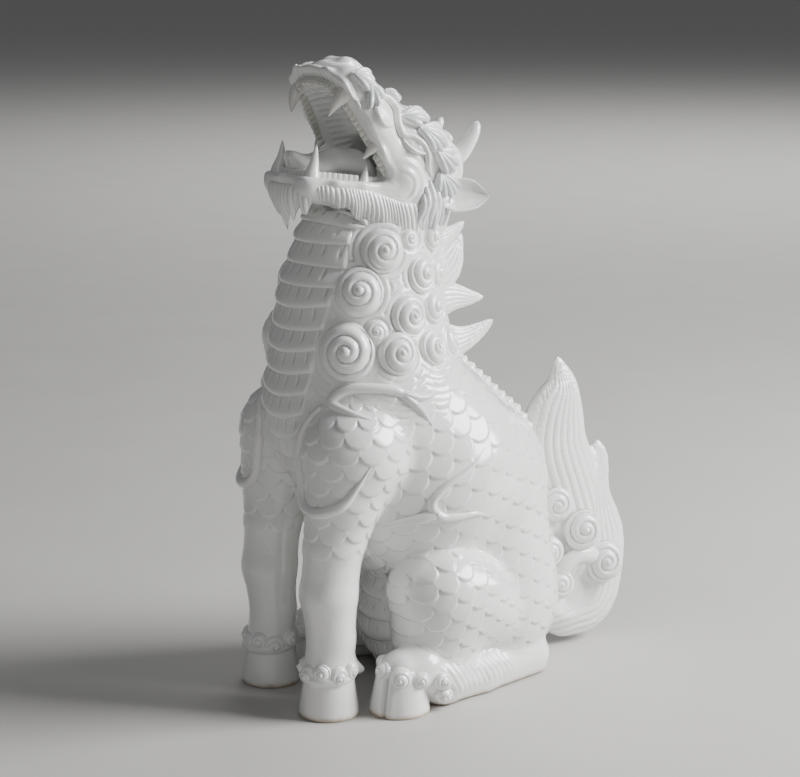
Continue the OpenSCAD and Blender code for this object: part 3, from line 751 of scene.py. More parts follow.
# --- the glaze ---
def glaze(name, tint, pool, roughness=0.17, coat=0.5, wave=0.35):
    """White porcelain under a clear glaze; the hollows are darkened, partly as pooled glaze tint and partly
    as painted shade. The foot is bare and rough.
    """
    material = bpy.data.materials.new(name)
    material.use_nodes = True
    nodes = material.node_tree.nodes
    links = material.node_tree.links
    shader = nodes["Principled BSDF"]
    shader.inputs["IOR"].default_value = 1.52
    shader.inputs["Coat Weight"].default_value = coat
    shader.inputs["Coat Roughness"].default_value = 0.05
    shader.inputs["Subsurface Weight"].default_value = 0.06
    shader.inputs["Subsurface Radius"].default_value = (0.004, 0.0035, 0.003)
    shader.inputs["Subsurface Scale"].default_value = 1.0

    def node(kind, **settings):
        made = nodes.new(kind)
        for key, value in settings.items():
            setattr(made, key, value)
        return made

    def ramp(source, stops):
        made = node("ShaderNodeValToRGB")
        links.new(source, made.inputs["Fac"])
        for element, (position, color) in zip(made.color_ramp.elements, (stops[0], stops[-1])):
            element.position = position
            element.color = (*color, 1)
        for position, color in stops[1:-1]:
            made.color_ramp.elements.new(position).color = (*color, 1)
        return made.outputs["Color"]

    def noise(scale, detail):
        made = node("ShaderNodeTexNoise")
        made.inputs["Scale"].default_value = scale
        made.inputs["Detail"].default_value = detail
        links.new(place.outputs["Object"], made.inputs["Vector"])
        return made.outputs["Fac"]

    def mixed(blend, share, first, second):
        made = node("ShaderNodeMix", data_type="RGBA", blend_type=blend)
        if isinstance(share, float):
            made.inputs["Factor"].default_value = share
        else:
            links.new(share, made.inputs["Factor"])
        links.new(first, made.inputs["A"])
        links.new(second, made.inputs["B"])
        return made.outputs["Result"]

    place = node("ShaderNodeTexCoord")
    cloud = ramp(noise(9, 3), [(0.3, tuple(0.972 * c for c in tint)), (0.7, tint)])
    # Painted shade: where the pointiness marks a hollow, the colour is darkened towards pool, which also
    # carries the tint of glaze pooled there.
    hollow = ramp(node("ShaderNodeNewGeometry").outputs["Pointiness"],
                  [(0.455, pool), (0.492, (1, 1, 1)), (0.56, (1, 1, 1))])
    color = mixed("MULTIPLY", 0.85, cloud, hollow)
    specks = node("ShaderNodeTexVoronoi")
    specks.inputs["Scale"].default_value = 46
    links.new(place.outputs["Object"], specks.inputs["Vector"])
    iron = [(0.0, (0.45, 0.36, 0.27)), (0.032, (0.8, 0.76, 0.7)), (0.05, (1, 1, 1))]
    speck = ramp(specks.outputs["Distance"], iron)
    color = mixed("MULTIPLY", 0.5, color, speck)

    # The foot is wiped clean of glaze: bare, slightly toasted clay just above the ground
    split = node("ShaderNodeSeparateXYZ")
    links.new(place.outputs["Object"], split.inputs[0])
    height = node("ShaderNodeMath", operation="MULTIPLY_ADD")
    links.new(noise(70, 2), height.inputs[0])
    height.inputs[1].default_value = -0.0035
    links.new(split.outputs["Z"], height.inputs[2])
    bare = ramp(height.outputs[0], [(0.0, (1, 1, 1)), (0.0022, (0, 0, 0))])
    clay = ramp(noise(120, 4), [(0.35, (0.42, 0.33, 0.24)), (0.65, (0.6, 0.52, 0.42))])
    color = mixed("MIX", bare, color, clay)
    links.new(color, shader.inputs["Base Color"])

    gloss = ramp(noise(24, 3), [(0.3, (roughness * 0.75,) * 3), (0.7, (roughness * 1.3,) * 3)])
    rough = ramp(noise(60, 1), [(0.3, (0.6,) * 3), (0.7, (0.72,) * 3)])
    links.new(mixed("MIX", bare, gloss, rough), shader.inputs["Roughness"])

    bump = None
    for strength, depth, height in ((wave, 0.0011, noise(48, 2)), (0.12, 0.0002, noise(520, 2))):
        made = node("ShaderNodeBump")
        made.inputs["Strength"].default_value = strength
        made.inputs["Distance"].default_value = depth
        links.new(height, made.inputs["Height"])
        if bump:
            links.new(bump.outputs["Normal"], made.inputs["Normal"])
        bump = made
    links.new(bump.outputs["Normal"], shader.inputs["Normal"])
    return material


WHITE = (0.865, 0.868, 0.85)
# The colour in the hollows: a pooled glaze tint together with painted shade.
POOL_TINT_AND_SHADE = (0.7, 0.735, 0.73)
# Each glaze's second colour is painted shade in its hollows, mixed with the tint of pooled glaze.
GLAZES = {
    "glaze_body": glaze("glaze_over_body", WHITE, POOL_TINT_AND_SHADE),
    "glaze_hair": glaze("glaze_over_hair", (0.87, 0.87, 0.855), (0.68, 0.72, 0.72), 0.15),
    "glaze_teeth": glaze("glaze_over_teeth", (0.89, 0.885, 0.86), (0.66, 0.66, 0.6), 0.12, 0.7),
    "glaze_tongue": glaze("glaze_over_tongue", (0.86, 0.862, 0.845), POOL_TINT_AND_SHADE, 0.13, 0.7),
    "glaze_eye": glaze("glaze_over_eyes", (0.9, 0.9, 0.89), (0.7, 0.72, 0.72), 0.08, 0.9, 0.1),
    "glaze_hoof": glaze("glaze_over_hooves", (0.862, 0.86, 0.835), (0.72, 0.73, 0.7), 0.16),
}

# --- body ---
FINER = {"skull": 1.6, "lower_jaw": 1.6, "nose": 1.4, "neck": 2.2}
for mass_name in MASSES:
    built = mass_piece(mass_name, FINER.get(mass_name, 2.6))
    if MASSES[mass_name][2][0] > 0:
        both_sides(mass_name, [built], "glaze_body")
    else:
        piece(mass_name + "_glazed", [built], mass_name, "glaze_body")


# --- snail curls ---
def curl_plan(centre, normal, r, rise, hand=1, turns=3.6, rings=34, spokes=56):
    """A disc of places for a snail curl, and how high the snail stands over each of them."""
    normal = unit(normal)
    first = unit(np.cross(normal, [0.31, 0.12, 0.94]))
    second = np.cross(normal, first)
    rho = np.linspace(0.02, 1.0, rings)[:, None]
    phi = np.linspace(0, 2 * math.pi, spokes, endpoint=False)[None, :]
    spread = r * rho[..., None] * (np.cos(phi)[..., None] * first + np.sin(phi)[..., None] * second)
    whorl = turns * rho ** 0.85 - hand * phi / (2 * math.pi)
    part = whorl - np.floor(whorl)
    cord = 0.15 * r * (np.sqrt(np.maximum(1 - (2 * part - 1) ** 2, 0)) - 0.8) * smooth_step(0.05, 0.22, rho)
    dome = rise * np.maximum(1 - rho ** 1.7, 0) ** 0.7 + 0.05 * r
    boss = 0.16 * r * np.sqrt(np.maximum(1 - (rho / 0.16) ** 2, 0))
    edge = smooth_step(1.0, 0.88, rho)
    height = np.where(rho < 0.16, np.maximum(dome + cord, boss + 0.97 * rise), dome + cord)
    height = height * edge + (edge - 1) * 3
    return np.asarray(centre) + spread, height, normal


def curl_part(base, normal, height):
    """The closed snail over its places."""
    rings, spokes = height.shape
    top = base.reshape(rings, spokes, 3) + normal * height[..., None]
    under = top[-1] - 3 * normal
    points = np.concatenate([top.reshape(-1, 3), under, top[:1].mean(1), under.mean(0)[None]])
    n = rings * spokes
    faces = [grid_faces(rings + 1, spokes, True), fan(n + spokes, np.arange(spokes)[::-1]),
             fan(n + spokes + 1, np.arange(n, n + spokes))]
    return points.astype(np.float32), faces


def curls(plans, on_skin=True):
    """Snail curls from (centre, radius, rise, hand) plans, or with a normal of their own off the skin."""
    centres = np.array([plan[0] for plan in plans], np.float32)
    if on_skin:
        centres, normals = to_skin(centres, 5)
    else:
        normals = [plan[4] for plan in plans]
    laid_out = [curl_plan(c, n, *plan[1:4], turns=1.5 + plan[1] / 18)
                for c, n, plan in zip(centres, normals, plans)]
    bases = [layout[0].reshape(-1, 3) for layout in laid_out]
    if on_skin:
        moved, _ = to_skin(np.concatenate(bases), 2)
        bases = np.split(moved, np.cumsum([len(b) for b in bases])[:-1])
    return [curl_part(base, layout[2], layout[1]) for base, layout in zip(bases, laid_out)]


mane_plans = [(CHEST + [x, y, z], 1.12 * r, 0.5 * r, hand) for x, y, z, r, hand in MANE]
both_sides("mane_curls", curls(mane_plans), "glaze_hair")

fetlock = FORE_HOOF + [0, 0, 43]
ring = []
for k, angle in enumerate(np.radians(np.linspace(-200, 32, 7))):
    place = fetlock + [24 * math.cos(angle), 24 * math.sin(angle), -2 if k % 2 else 2]
    ring.append((place, 12.0 if k % 2 else 10.5, 5.0, 1 - 2 * (k % 2)))
cuff = [fetlock + [27 * math.cos(a), 27 * math.sin(a), -6] for a in np.radians(np.linspace(-235, 65, 13))]
both_sides("fore_fetlock_curls", curls(ring) + [laid(cuff, 5.0, 4.0)], "glaze_hair")

top = HIND_HOOF + [0, 3, 40]
knots = [(top + [-19, -10, 3], 10, 6, 1), (top + [1, -20, 1], 11, 6.5, 1), (top + [19, -14, -3], 13.5, 8, -1),
         (top + [26, 6, -7], 9.5, 6, 1)]
knots += [(HIND_HOOF + [27, 32, 29], 10, 6, -1), (HIND_HOOF + [28, 33, 12], 9.5, 6, 1)]
both_sides("hind_fetlock_curls", curls(knots), "glaze_hair")


# --- hooves ---
def hoof(centre, foot_r, top_r, height, cleft=None, stretch=1.0):
    """A hoof: it flares to a rounded edge on the ground, with a cleft at an angle about the vertical."""
    outline = smooth_path([(0.2, 0), (0.62, 0), (0.93, 0), (0.995, 0.03), (1.0, 0.1), (0.955, 0.3),
                           (0.88, 0.6), (0.82, 0.86), (0.8, 1.0), (0.68, 1.1), (0.2, 1.12)], 5)
    angle = np.linspace(0, 2 * math.pi, 96, endpoint=False)
    share = outline[:, :1]
    r = share * (foot_r + (top_r / 0.8 - foot_r) * np.clip(outline[:, 1:], 0, 1))
    if cleft is not None:
        off = (angle - cleft + math.pi) % (2 * math.pi) - math.pi
        r = r - 2.6 * np.exp(-(off * r / 1.7) ** 2) * (share > 0.6) * smooth_step(1.05, 0.9, outline[:, 1:])
        r = r + 0.9 * np.exp(-((np.abs(off * r) - 5) / 4) ** 2) * (share > 0.7)
    z = np.maximum(height * outline[:, 1:], 0) + 0 * angle
    points = np.stack([r * np.cos(angle), r * np.sin(angle) * stretch, z], -1) + centre
    rows = len(outline)
    points = np.concatenate([points.reshape(-1, 3), [centre, centre + [0, 0, 1.12 * height]]])
    n = rows * 96
    return points.astype(np.float32), [grid_faces(rows, 96, True), fan(n, np.arange(96)[::-1]),
                                       fan(n + 1, np.arange(n - 96, n))]


low, high = box_mm("fore_hoof_left")
both_sides("fore_hoof", [hoof(FORE_HOOF, (high[0] - low[0]) / 2, 24, high[2])], "glaze_hoof")
low, high = box_mm("hind_hoof_left")
cleft_way = math.radians(-62)
both_sides("hind_hoof", [hoof(HIND_HOOF, (high[0] - low[0]) / 2, 21.5, high[2], cleft_way)], "glaze_hoof")


# --- plated strip from the throat to the ground ---
def plates():
    """Overlapping bands, each thickest at its lower edge and nicked along its top."""
    breast = ((-94, 138), (-99, 108), (-100, 60), (-96, 10), (-84, -50), (-58, -92))
    belly = ((-72, 50), (-68, 10), (-64, -28), (-50, -58))
    spine = [THROAT + [0, -30, -30]] + [CHEST + [0, *q] for q in breast]
    spine += [RIB + [0, -78, -70]] + [GROIN + [0, *q] for q in belly]
    path, out = to_skin(smooth_path(spine, 16), 4)
    out = unit(np.array([0, 1, 1]) * out)
    lengths = np.concatenate([[0], np.cumsum(np.linalg.norm(np.diff(path, axis=0), axis=1))])
    bands = round(lengths[-1] / 20.4)
    rows_in_band = np.array([0.0, 0.05, 0.15, 0.27, 0.4, 0.52, 0.64, 0.76, 0.86, 0.93, 0.985])
    down = ((np.arange(bands)[:, None] + rows_in_band) / bands).reshape(-1)
    walk = down * lengths[-1]
    middle = np.stack([np.interp(walk, lengths, path[:, i]) for i in range(3)], 1)
    facing = unit(np.stack([np.interp(walk, lengths, out[:, i]) for i in range(3)], 1))
    upwards = unit(np.cross([1.0, 0, 0], facing))
    half = np.interp(walk, [0, 45, 110, 180, 240, 400], [31, 45, 50, 43, 38, 44])
    across = np.linspace(-1, 1, 110)
    radius = 62.0
    turn = across * np.arcsin(np.minimum(half / radius, 0.95))[:, None]
    base = (middle - radius * facing)[:, None] + radius * (np.cos(turn)[..., None] * facing[:, None]
                                                         + np.sin(turn)[..., None] * np.array([1.0, 0, 0]))
    upwards = upwards * np.sign(upwards[:, 2:])
    base = base + (8.0 * across ** 2)[None, :, None] * upwards[:, None]
    base, normals = to_skin(base.reshape(-1, 3), 4)
    base = base.reshape(len(down), -1, 3)
    normals = normals.reshape(base.shape)
    in_band = ((down * bands) % 1)[:, None]
    band = np.floor(down * bands + 1e-6).astype(int)[:, None]
    thick = 1.0 + 2.9 * smooth_step(0.0, 0.8, in_band) - 1.3 * smooth_step(0.86, 1.0, in_band) + 0 * across
    off = (base[..., 0] + np.where(band % 2, 7.0, 0.0) + 7.0) % 14.0 - 7.0
    nick = np.exp(-(off / 0.95) ** 2) * smooth_step(0.62, 0.46, in_band) * smooth_step(-0.01, 0.05, in_band)
    thick = thick - 1.7 * nick
    edge = smooth_step(1.0, 0.9, np.abs(across))
    thick = thick * edge - 2.5 * (1 - edge)
    top = base + normals * thick[..., None]
    under = base - 3.5 * normals
    top[..., 2] = np.maximum(top[..., 2], 0)
    under[..., 2] = np.maximum(under[..., 2], 0)
    return slab(top, under)


piece("chest_plates_glazed", [plates()], "chest_plates", "glaze_body")

# --- beads and a line down the spine ---
spine_line = [RIB + [0, 30, 98], RIB + [0, 56, 85]]
spine_line += [LOIN + [0, *q] for q in ((28, 73), (43, 60), (57, 44), (68, 24), (76, 0))]
bead_places, bead_out = to_skin(smooth_path(spine_line, 12), 4)
far_along = np.concatenate([[0], np.cumsum(np.linalg.norm(np.diff(bead_places, axis=0), axis=1))])
beads = []
for walk in np.arange(4, far_along[-1] - 2, 12.0):
    middle = np.array([np.interp(walk, far_along, bead_places[:, i]) for i in range(3)])
    outwards = unit(np.array([np.interp(walk, far_along, bead_out[:, i]) for i in range(3)]))
    for side in (-1, 1):
        lean = unit(outwards + [0.42 * side, 0, 0])
        beads.append((middle + [5.6 * side, 0, 0] + 0.5 * outwards, 8.4, 7.0, side, lean))
line = [laid([q + [9.5, 0, -1] for q in spine_line], 1.5, 1.6, 0.4)]
piece("spine_ridge_glazed", curls(beads, on_skin=False) + paired(line), "spine_ridge", "glaze_body")


# --- ribbons that lie on the shoulder and the flank ---
def body_ribbon(points, wide, high=3.6, taper=(0.12, 0.62, 0.95, 1.0, 0.85, 0.5, 0.12)):
    return laid(points, wide, high, 0.35, 9, 0.25, np.array(taper))


ONE_END = (0.75, 0.95, 1.0, 0.85, 0.6, 0.35, 0.1)
upper_loop = body_ribbon([(93, -150, 280), (78, -165, 285), (60, -172, 295), (66, -158, 307), (85, -128, 307),
                          (88, -112, 299)], 5.0, taper=(0.12, 0.6, 0.9, 1.0, 0.95, 0.9, 0.8))
branches = [body_ribbon([(86, -122, 304), (87, -100, 297), (88, -77, 299)], 4.2, taper=ONE_END),
            body_ribbon([(88, -118, 302), (92, -102, 288), (95, -87, 269)], 4.4, taper=ONE_END)]
lower_loop = body_ribbon([(52, -176, 290), (38, -205, 262), (33, -213, 236), (42, -208, 209), (66, -199, 198),
                          (88, -182, 206), (98, -170, 226), (101, -160, 244)],
                         5.2, 4.0, (0.4, 0.8, 1.0, 1.0, 1.0, 1.0, 0.6, 0.12))
both_sides("shoulder_flames", [upper_loop, lower_loop] + branches, "glaze_hair")

flank = body_ribbon([(96, -34, 243), (98, -52, 228), (100, -78, 214), (95, -89, 199), (97, -80, 186),
                     (98, -62, 185), (97, -46, 186), (96, -30, 180)],
                    4.6, 3.6, (0.12, 0.5, 0.8, 1.0, 1.0, 0.8, 0.6, 0.12))
fold = body_ribbon([(96, -84, 190), (84, -106, 183), (62, -130, 178)],
                   6.0, 4.4, (0.9, 1.0, 0.9, 0.7, 0.4, 0.15))
both_sides("flank_flames", [flank, fold], "glaze_hair")


# --- flames: the nape's locks and the tail ---
def flame_part(chains, flat, step, grooves, melt=6.0, extra=None, hollow=None):
    """A flat flame round chains of (y, z, r), with strands that run along them to their tips."""
    paths = [smooth_path(chain, 6) for chain in chains]

    def field(p):
        q = p / np.array([flat, 1, 1], np.float32)
        d = None
        for chain in chains:
            balls = [(0, *ball) for ball in smooth_path(chain, 3)]
            one = limb(q, balls, 1.5)
            d = one if d is None else join(d, one, melt)
        if extra is not None:
            d = join(d, extra(q), 12)
        return np.maximum(d * (0.5 + 0.5 * flat), -p[:, 2] + 0.0)

    reach = np.concatenate(paths)
    r = reach[:, 2]
    low = np.array([-flat * r.max() - 8, (reach[:, 0] - r).min() - 6, max((reach[:, 1] - r).min() - 6, -4)])
    high = np.array([flat * r.max() + 8, (reach[:, 0] + r).max() + 6, (reach[:, 1] + r).max() + 6])
    points, quads = surface_of(field, low, high, step)
    points, quads = refine(points, quads)
    points = in_chunks(lambda p: move_to(field, p, 3, 3.0), points)
    best = np.full(len(points), 9.0, np.float32)
    phase = np.zeros(len(points), np.float32)
    for path, count in zip(paths, grooves):
        for a, b in zip(path[:-1], path[1:]):
            along = (b - a)[:2]
            length = np.linalg.norm(along)
            along = along / length
            rel = points[:, 1:] - a[:2]
            t = np.clip(rel @ along / length, 0, 1)
            wide = a[2] + (b[2] - a[2]) * t
            gap = rel - t[:, None] * (along * length)
            side = gap @ np.array([-along[1], along[0]])
            share = np.linalg.norm(gap, axis=1) / wide
            nearer = share < best
            best = np.where(nearer, share, best)
            phase = np.where(nearer, side / wide * count, phase)
    normals = unit(in_chunks(lambda p: gradient(field, p), points))
    amount = (strands(phase) - 0.75) * 1.5 * smooth_step(1.02, 0.9, best) * smooth_step(2, 10, points[:, 2])
    if hollow is not None:
        amount = amount * (1 - hollow(points)) - 7 * hollow(points)
    points = points + normals * amount[:, None]
    points[:, 2] = np.maximum(points[:, 2], 0)
    return points.astype(np.float32), quads


def moved(y, z, chain):
    return [(y + dy, z + dz, r) for dy, dz, r in chain]


nape_chains = [
    [(-8, 104, 27), (18, 118, 19), (30, 134, 9), (36, 146, 3)],
    [(-4, 84, 22), (24, 88, 14), (44, 86, 8), (60, 85, 3)],
    [(6, 44, 23), (34, 44, 14), (58, 52, 8), (72, 60, 3)],
    [(-14, 138, 15), (22, 148, 8), (38, 158, 3)]
]
locks = [flame_part([moved(CHEST[1] + 72, CHEST[2], chain)], 0.42, 2.0, [3.0]) for chain in nape_chains]
piece("nape_flames_glazed", locks, "nape_flames", "glaze_hair")

rump = TAIL[1]
main_flame = moved(rump, 0, [(28, 297, 3), (30, 288, 8), (33, 266, 19), (25, 238, 33), (24, 208, 39),
                             (38, 165, 42), (52, 112, 44), (42, 62, 44)])
side_flame = moved(rump, 0, [(79, 206, 3.5), (80, 188, 12.5), (73, 150, 22), (76, 108, 36), (74, 76, 38),
                             (66, 48, 38), (44, 42, 36)])


def tail_web(q):
    return ball_pair(q, (0, rump - 4, 120, 34), (0, rump + 10, 60, 40))


def tail_hollow(p):
    """The smooth dished place under the curls."""
    a = (p[:, 1] - rump - 42) / 26
    b = (p[:, 2] - 58) / 24
    return smooth_step(1.25, 0.5, np.sqrt(a * a + b * b)) * smooth_step(8, 14, np.abs(p[:, 0]))


tail = flame_part([main_flame, side_flame], 0.5, 2.2, [4.5, 4.5], 10, tail_web, tail_hollow)
piece("tail_glazed", [tail], "tail", "glaze_hair")
tail_plan = [(18, 15, 153, 18, 1), (22, 45, 124, 21, -1), (20, 75, 86, 21.5, 1), (18, 7, 106, 16, -1),
             (20, 20, 70, 15, 1)]
tail_knots = [(np.array([x, rump + y, z]), 1.08 * r, 0.55 * r, hand, (0.97, -0.2, 0.12))
              for x, y, z, r, hand in tail_plan]
stalk_path = smooth_path([(x, rump + y, z) for x, y, z in (
    (15, 20, 64), (20, 26, 88), (22, 44, 98), (19, 70, 90))], 8)
stems = []
for middle, r, *_ in tail_knots:
    stem = np.array([middle + [dx, 0, 0] for dx in (-16, -8, 1)])
    stems.append(tube(stem, (0, 0, 1), 0.96 * r, 0.96 * r, 40))
stems.append(tube(stalk_path, (1, 0, 0), np.array(9.0), np.array(7.0)))
both_sides("tail_curls", curls(tail_knots, on_skin=False) + stems, "glaze_hair")


# --- teeth, fangs and tongue ---
def fang(points, r, end=0.6, sides=20):
    """A curved tooth from its root to its tip."""
    path = smooth_path(points, 8)
    t = np.linspace(0, 1, len(path))
    width = r * (1 - t) ** 0.72 + end * np.sqrt(np.maximum(1 - t, 0.02))
    lies_flat = abs(path[-1][2] - path[0][2]) < 8
    return tube(path, (0.2, 0.3, 0.9) if lies_flat else (0, -1, 0.02), width, width, sides)


def gum(t, wide, length, back):
    """Where the teeth stand: across the front of the jaw, then back along its side."""
    a, side = abs(t), math.copysign(1, t)
    if a < 0.34:
        return side * wide * 0.66 * a / 0.34, length - 4 * (a / 0.34) ** 2
    share = (a - 0.34) / 0.66
    across = side * wide * (0.66 + 0.34 * math.sin(share * math.pi / 2))
    return across, length - 4 - (length - 4 - back) * share


def pegs(jaw, wide, length, back, root, tip, size, skip):
    """A close row of square-shouldered teeth, leaving room for the fangs."""
    made = []
    line = [(*gum(t, wide, length, back), 0) for t in np.linspace(-1, 1, 61)]
    places, _ = walked(line, 1.86 * size, 1)
    along = np.gradient(places, axis=0)
    for (x, u, _), (dx, du, _) in zip(places, along):
        if any(abs(abs(x) - sx) + abs(u - su) < 7.5 for sx, su in skip):
            continue
        side = unit(jaw(dx, du, 0) - HINGE)
        path = [jaw(x, u, root + (tip - root) * share) for share in (0, 0.4, 0.8, 0.95, 1.0)]
        path = smooth_path(path, 3)
        shape = profile(len(path), [0, 0.25, 0.5, 0.75, 1], [1.0, 1.08, 1.0, 0.82, 0.45])
        made.append(tube(path, np.cross(side, UP_N), 1.24 * size * shape, 0.85 * size * shape, 12))
    return made


UPPER_FANG = (39, 98)
LOWER_FANG = (31, 81)
upper_pegs = pegs(upper, 47, 112, 16, 1, -8.0, 2.9, [UPPER_FANG, (47, 43)])
piece("upper_teeth_glazed", upper_pegs, "upper_teeth", "glaze_teeth")
lower_pegs = pegs(lower, 41, 85, 14, -2, 6.0, 2.7, [LOWER_FANG, (41, 32)])
piece("lower_teeth_glazed", lower_pegs, "lower_teeth", "glaze_teeth")
upper_fangs = [fang([upper(41, 99, 3), upper(41, 97, -6), upper(38.5, 93.5, -14), upper(34, 87, -23)], 8.6),
               fang([upper(48, 44, 3), upper(47.5, 43, -4), upper(46, 41, -10), upper(43, 38, -16)], 6.0)]
piece("upper_fangs_glazed", paired(upper_fangs), "upper_fangs", "glaze_teeth")
lower_fangs = [fang([lower(31, 80, -5), lower(31, 80, 4), lower(30.5, 78.5, 15), lower(31.5, 78.5, 30)], 8.2),
               fang([lower(42, 32, -4), lower(41.5, 31, 4), lower(40.5, 30, 16)], 5.6)]
piece("lower_fangs_glazed", paired(lower_fangs), "lower_fangs", "glaze_teeth")


def tongue():
    """A thick tongue that humps up from the throat, with a furrow and a curled tip."""
    humps = ((4, 2, 15), (24, 12, 15), (44, 13, 13), (62, 8, 10), (76, 9, 8), (86, 17, 5.5))
    balls = [low_ball(0, *hump) for hump in humps]
    wide = 1.75

    def field(p):
        q = p / np.array([wide, 1, 1], np.float32)
        furrow = 1.6 * np.exp(-(p[:, 0] / 2.4) ** 2)
        return limb(q, balls, 10) * 0.8 + furrow * smooth_step(-4, 4, measured(p, lower(0, 40, 8), LOW_N))

    centre = lower(0, 45, 8)
    points, quads = surface_of(field, centre - [34, 70, 34], centre + [34, 70, 34], 2.2)
    points, quads = refine(points, quads)
    return in_chunks(lambda p: move_to(field, p, 2, 3.0), points), quads


piece("tongue_glazed", [tongue()], "tongue", "glaze_tongue")


# --- eyes, brows, tufts ---
def eye():
    """An almond between two lids."""
    middle, normal = to_skin(EYE[None], 3)
    middle = middle[0]
    normal = unit(normal[0] + [0.3, 0, 0.05])
    middle = middle + 0.4 * normal
    along = unit(EYE_ALONG - (EYE_ALONG @ normal) * normal)
    across = np.cross(normal, along)
    s = np.linspace(0, 1, 33)[:, None]
    w = np.linspace(-1, 1, 21)[None, :]
    opening = 4.6 * np.sin(math.pi * s) ** 0.75
    bulge = 3.0 * np.sqrt(np.maximum(1 - w * w, 0)) * np.sin(math.pi * s) ** 0.6
    iris = 0.7 * np.exp(-(((s - 0.5) * 26 / 3.2) ** 2 + (w * 5.4 / 3.2) ** 2) ** 2)
    spot = middle + along * ((s - 0.5) * 27)[..., None] + across * (w * opening)[..., None]
    ball = slab(spot + normal * (bulge - iris)[..., None], spot + normal * -5)
    lids = []
    for side, thick in ((1, 2.5), (-1, 1.7)):
        path = []
        for k in np.linspace(0, 1, 9):
            arch = side * 5.7 * math.sin(math.pi * k) ** 0.8
            rise = 1.2 - 2.4 * abs(k - 0.5)
            path.append(middle + along * ((k - 0.5) * 30) + across * arch + normal * rise)
        path = smooth_path(path, 4)
        width = thick * (0.35 + 0.65 * np.sin(np.linspace(0.02, 0.98, len(path)) * math.pi))
        lids.append(tube(path, normal, width, 1.25 * width))
    return [ball] + lids


piece("eyes_glazed", paired(eye()), "eyes", "glaze_eye")

brow_path = [upper(*q) for q in ((55, 83, 19), (47, 77, 30), (45, 69, 33), (46, 59, 33), (54, 52, 27),
                                 (59, 42, 24), (57, 33, 31), (55, 22, 36), (54, 11, 36), (56, 0, 32),
                                 (54, -11, 33))]
brow_taper = np.array([0.45, 0.8, 1, 1, 1, 1, 1, 0.95, 0.9, 0.7, 0.3])
brow = laid(brow_path, 3.3, 3.6, 0.5, 7, 0.2, brow_taper)
rim_path = [upper(*q) for q in ((50, 80, 20), (61, 78, 12), (63, 69, 8), (63, 60, 10), (58, 52, 20))]
patch_rim = laid(rim_path, 2.6, 2.6, 0.4, 6)
piece("brow_ridges_glazed", paired([brow, patch_rim]), "brow_ridges", "glaze_body")


def tuft(root, tips, wide, high, arch=3.0):
    """A shell of strands that spread from one root and curl down at their tips."""
    shell = []
    for k, tip in enumerate(tips):
        root_point, tip_point = upper(*root), upper(*tip)
        spread = (k - (len(tips) - 1) / 2) * 0.9
        start = root_point + unit(tip_point - root_point) * 1.0
        middle = 0.5 * (start + tip_point) + unit(np.cross(tip_point - root_point, UP_N)) * spread
        path, normals = to_skin(smooth_path([start, middle, tip_point], 7), 3)
        t = np.linspace(0, 1, len(path))
        rise = arch * np.sin(t * math.pi * 0.8 + 0.1) + 1.0 - abs(spread) * 0.35
        width = wide * np.interp(t, [0, 0.3, 0.7, 0.92, 1], [0.45, 0.8, 1.0, 0.85, 0.25])
        height = high * np.interp(t, [0, 0.5, 0.9, 1], [0.8, 1, 1, 0.4])
        shell.append(tube(path + normals * rise[:, None], normals, width, height, 12))
    return shell


TUFTS = [
    ((48, 112, 10), [(40, 96, 32), (46, 93, 28), (50, 91, 22), (55, 92, 14)], 3.4, 4.2),
    ((50, 94, 20), [(46, 80, 32), (54, 78, 24), (59, 76, 12), (61, 80, 5)], 3.4, 4.0),
    ((50, 54, 33), [(34, 36, 60), (38, 33, 56), (43, 30, 51), (49, 32, 44)], 3.6, 4.4),
    ((52, 34, 41), [(34, 12, 65), (40, 6, 61), (45, 3, 56), (50, 4, 49), (53, 10, 43)], 3.7, 4.6),
    ((52, 10, 45), [(36, -12, 64), (42, -18, 60), (47, -20, 55), (51, -17, 47)], 3.7, 4.6),
    ((52, -12, 42), [(38, -36, 56), (44, -42, 50), (49, -42, 42), (53, -36, 34), (54, -26, 30)], 3.7, 4.6),
    ((18, 70, 48), [(8, 54, 58), (14, 52, 57), (20, 54, 54)], 3.4, 3.6),
    ((16, 42, 62), [(6, 20, 76), (12, 18, 75), (18, 20, 72), (24, 24, 68)], 3.6, 4.2),
    ((14, 8, 76), [(5, -16, 80), (11, -18, 78), (18, -16, 74), (24, -10, 70)], 3.6, 4.2)
]
tufts = [strand for row in TUFTS for strand in tuft(*row)]
both_sides("brow_tufts", tufts, "glaze_hair")


# --- horns and ears ---
horn_path = smooth_path([upper(24, -8, 52), upper(27, -16, 66), HINGE + [30, 79, 24], HINGE + [31, 92, 40],
                         HINGE + [30, 99, 54]], 8)
horn_r = profile(len(horn_path), [0, 0.5, 0.85, 0.96, 1], [12.5, 10.4, 7.2, 5.4, 1.8])
both_sides("horn", [tube(horn_path, (0.35, -0.8, 0.5), horn_r, 0.72 * horn_r, 28)], "glaze_body")


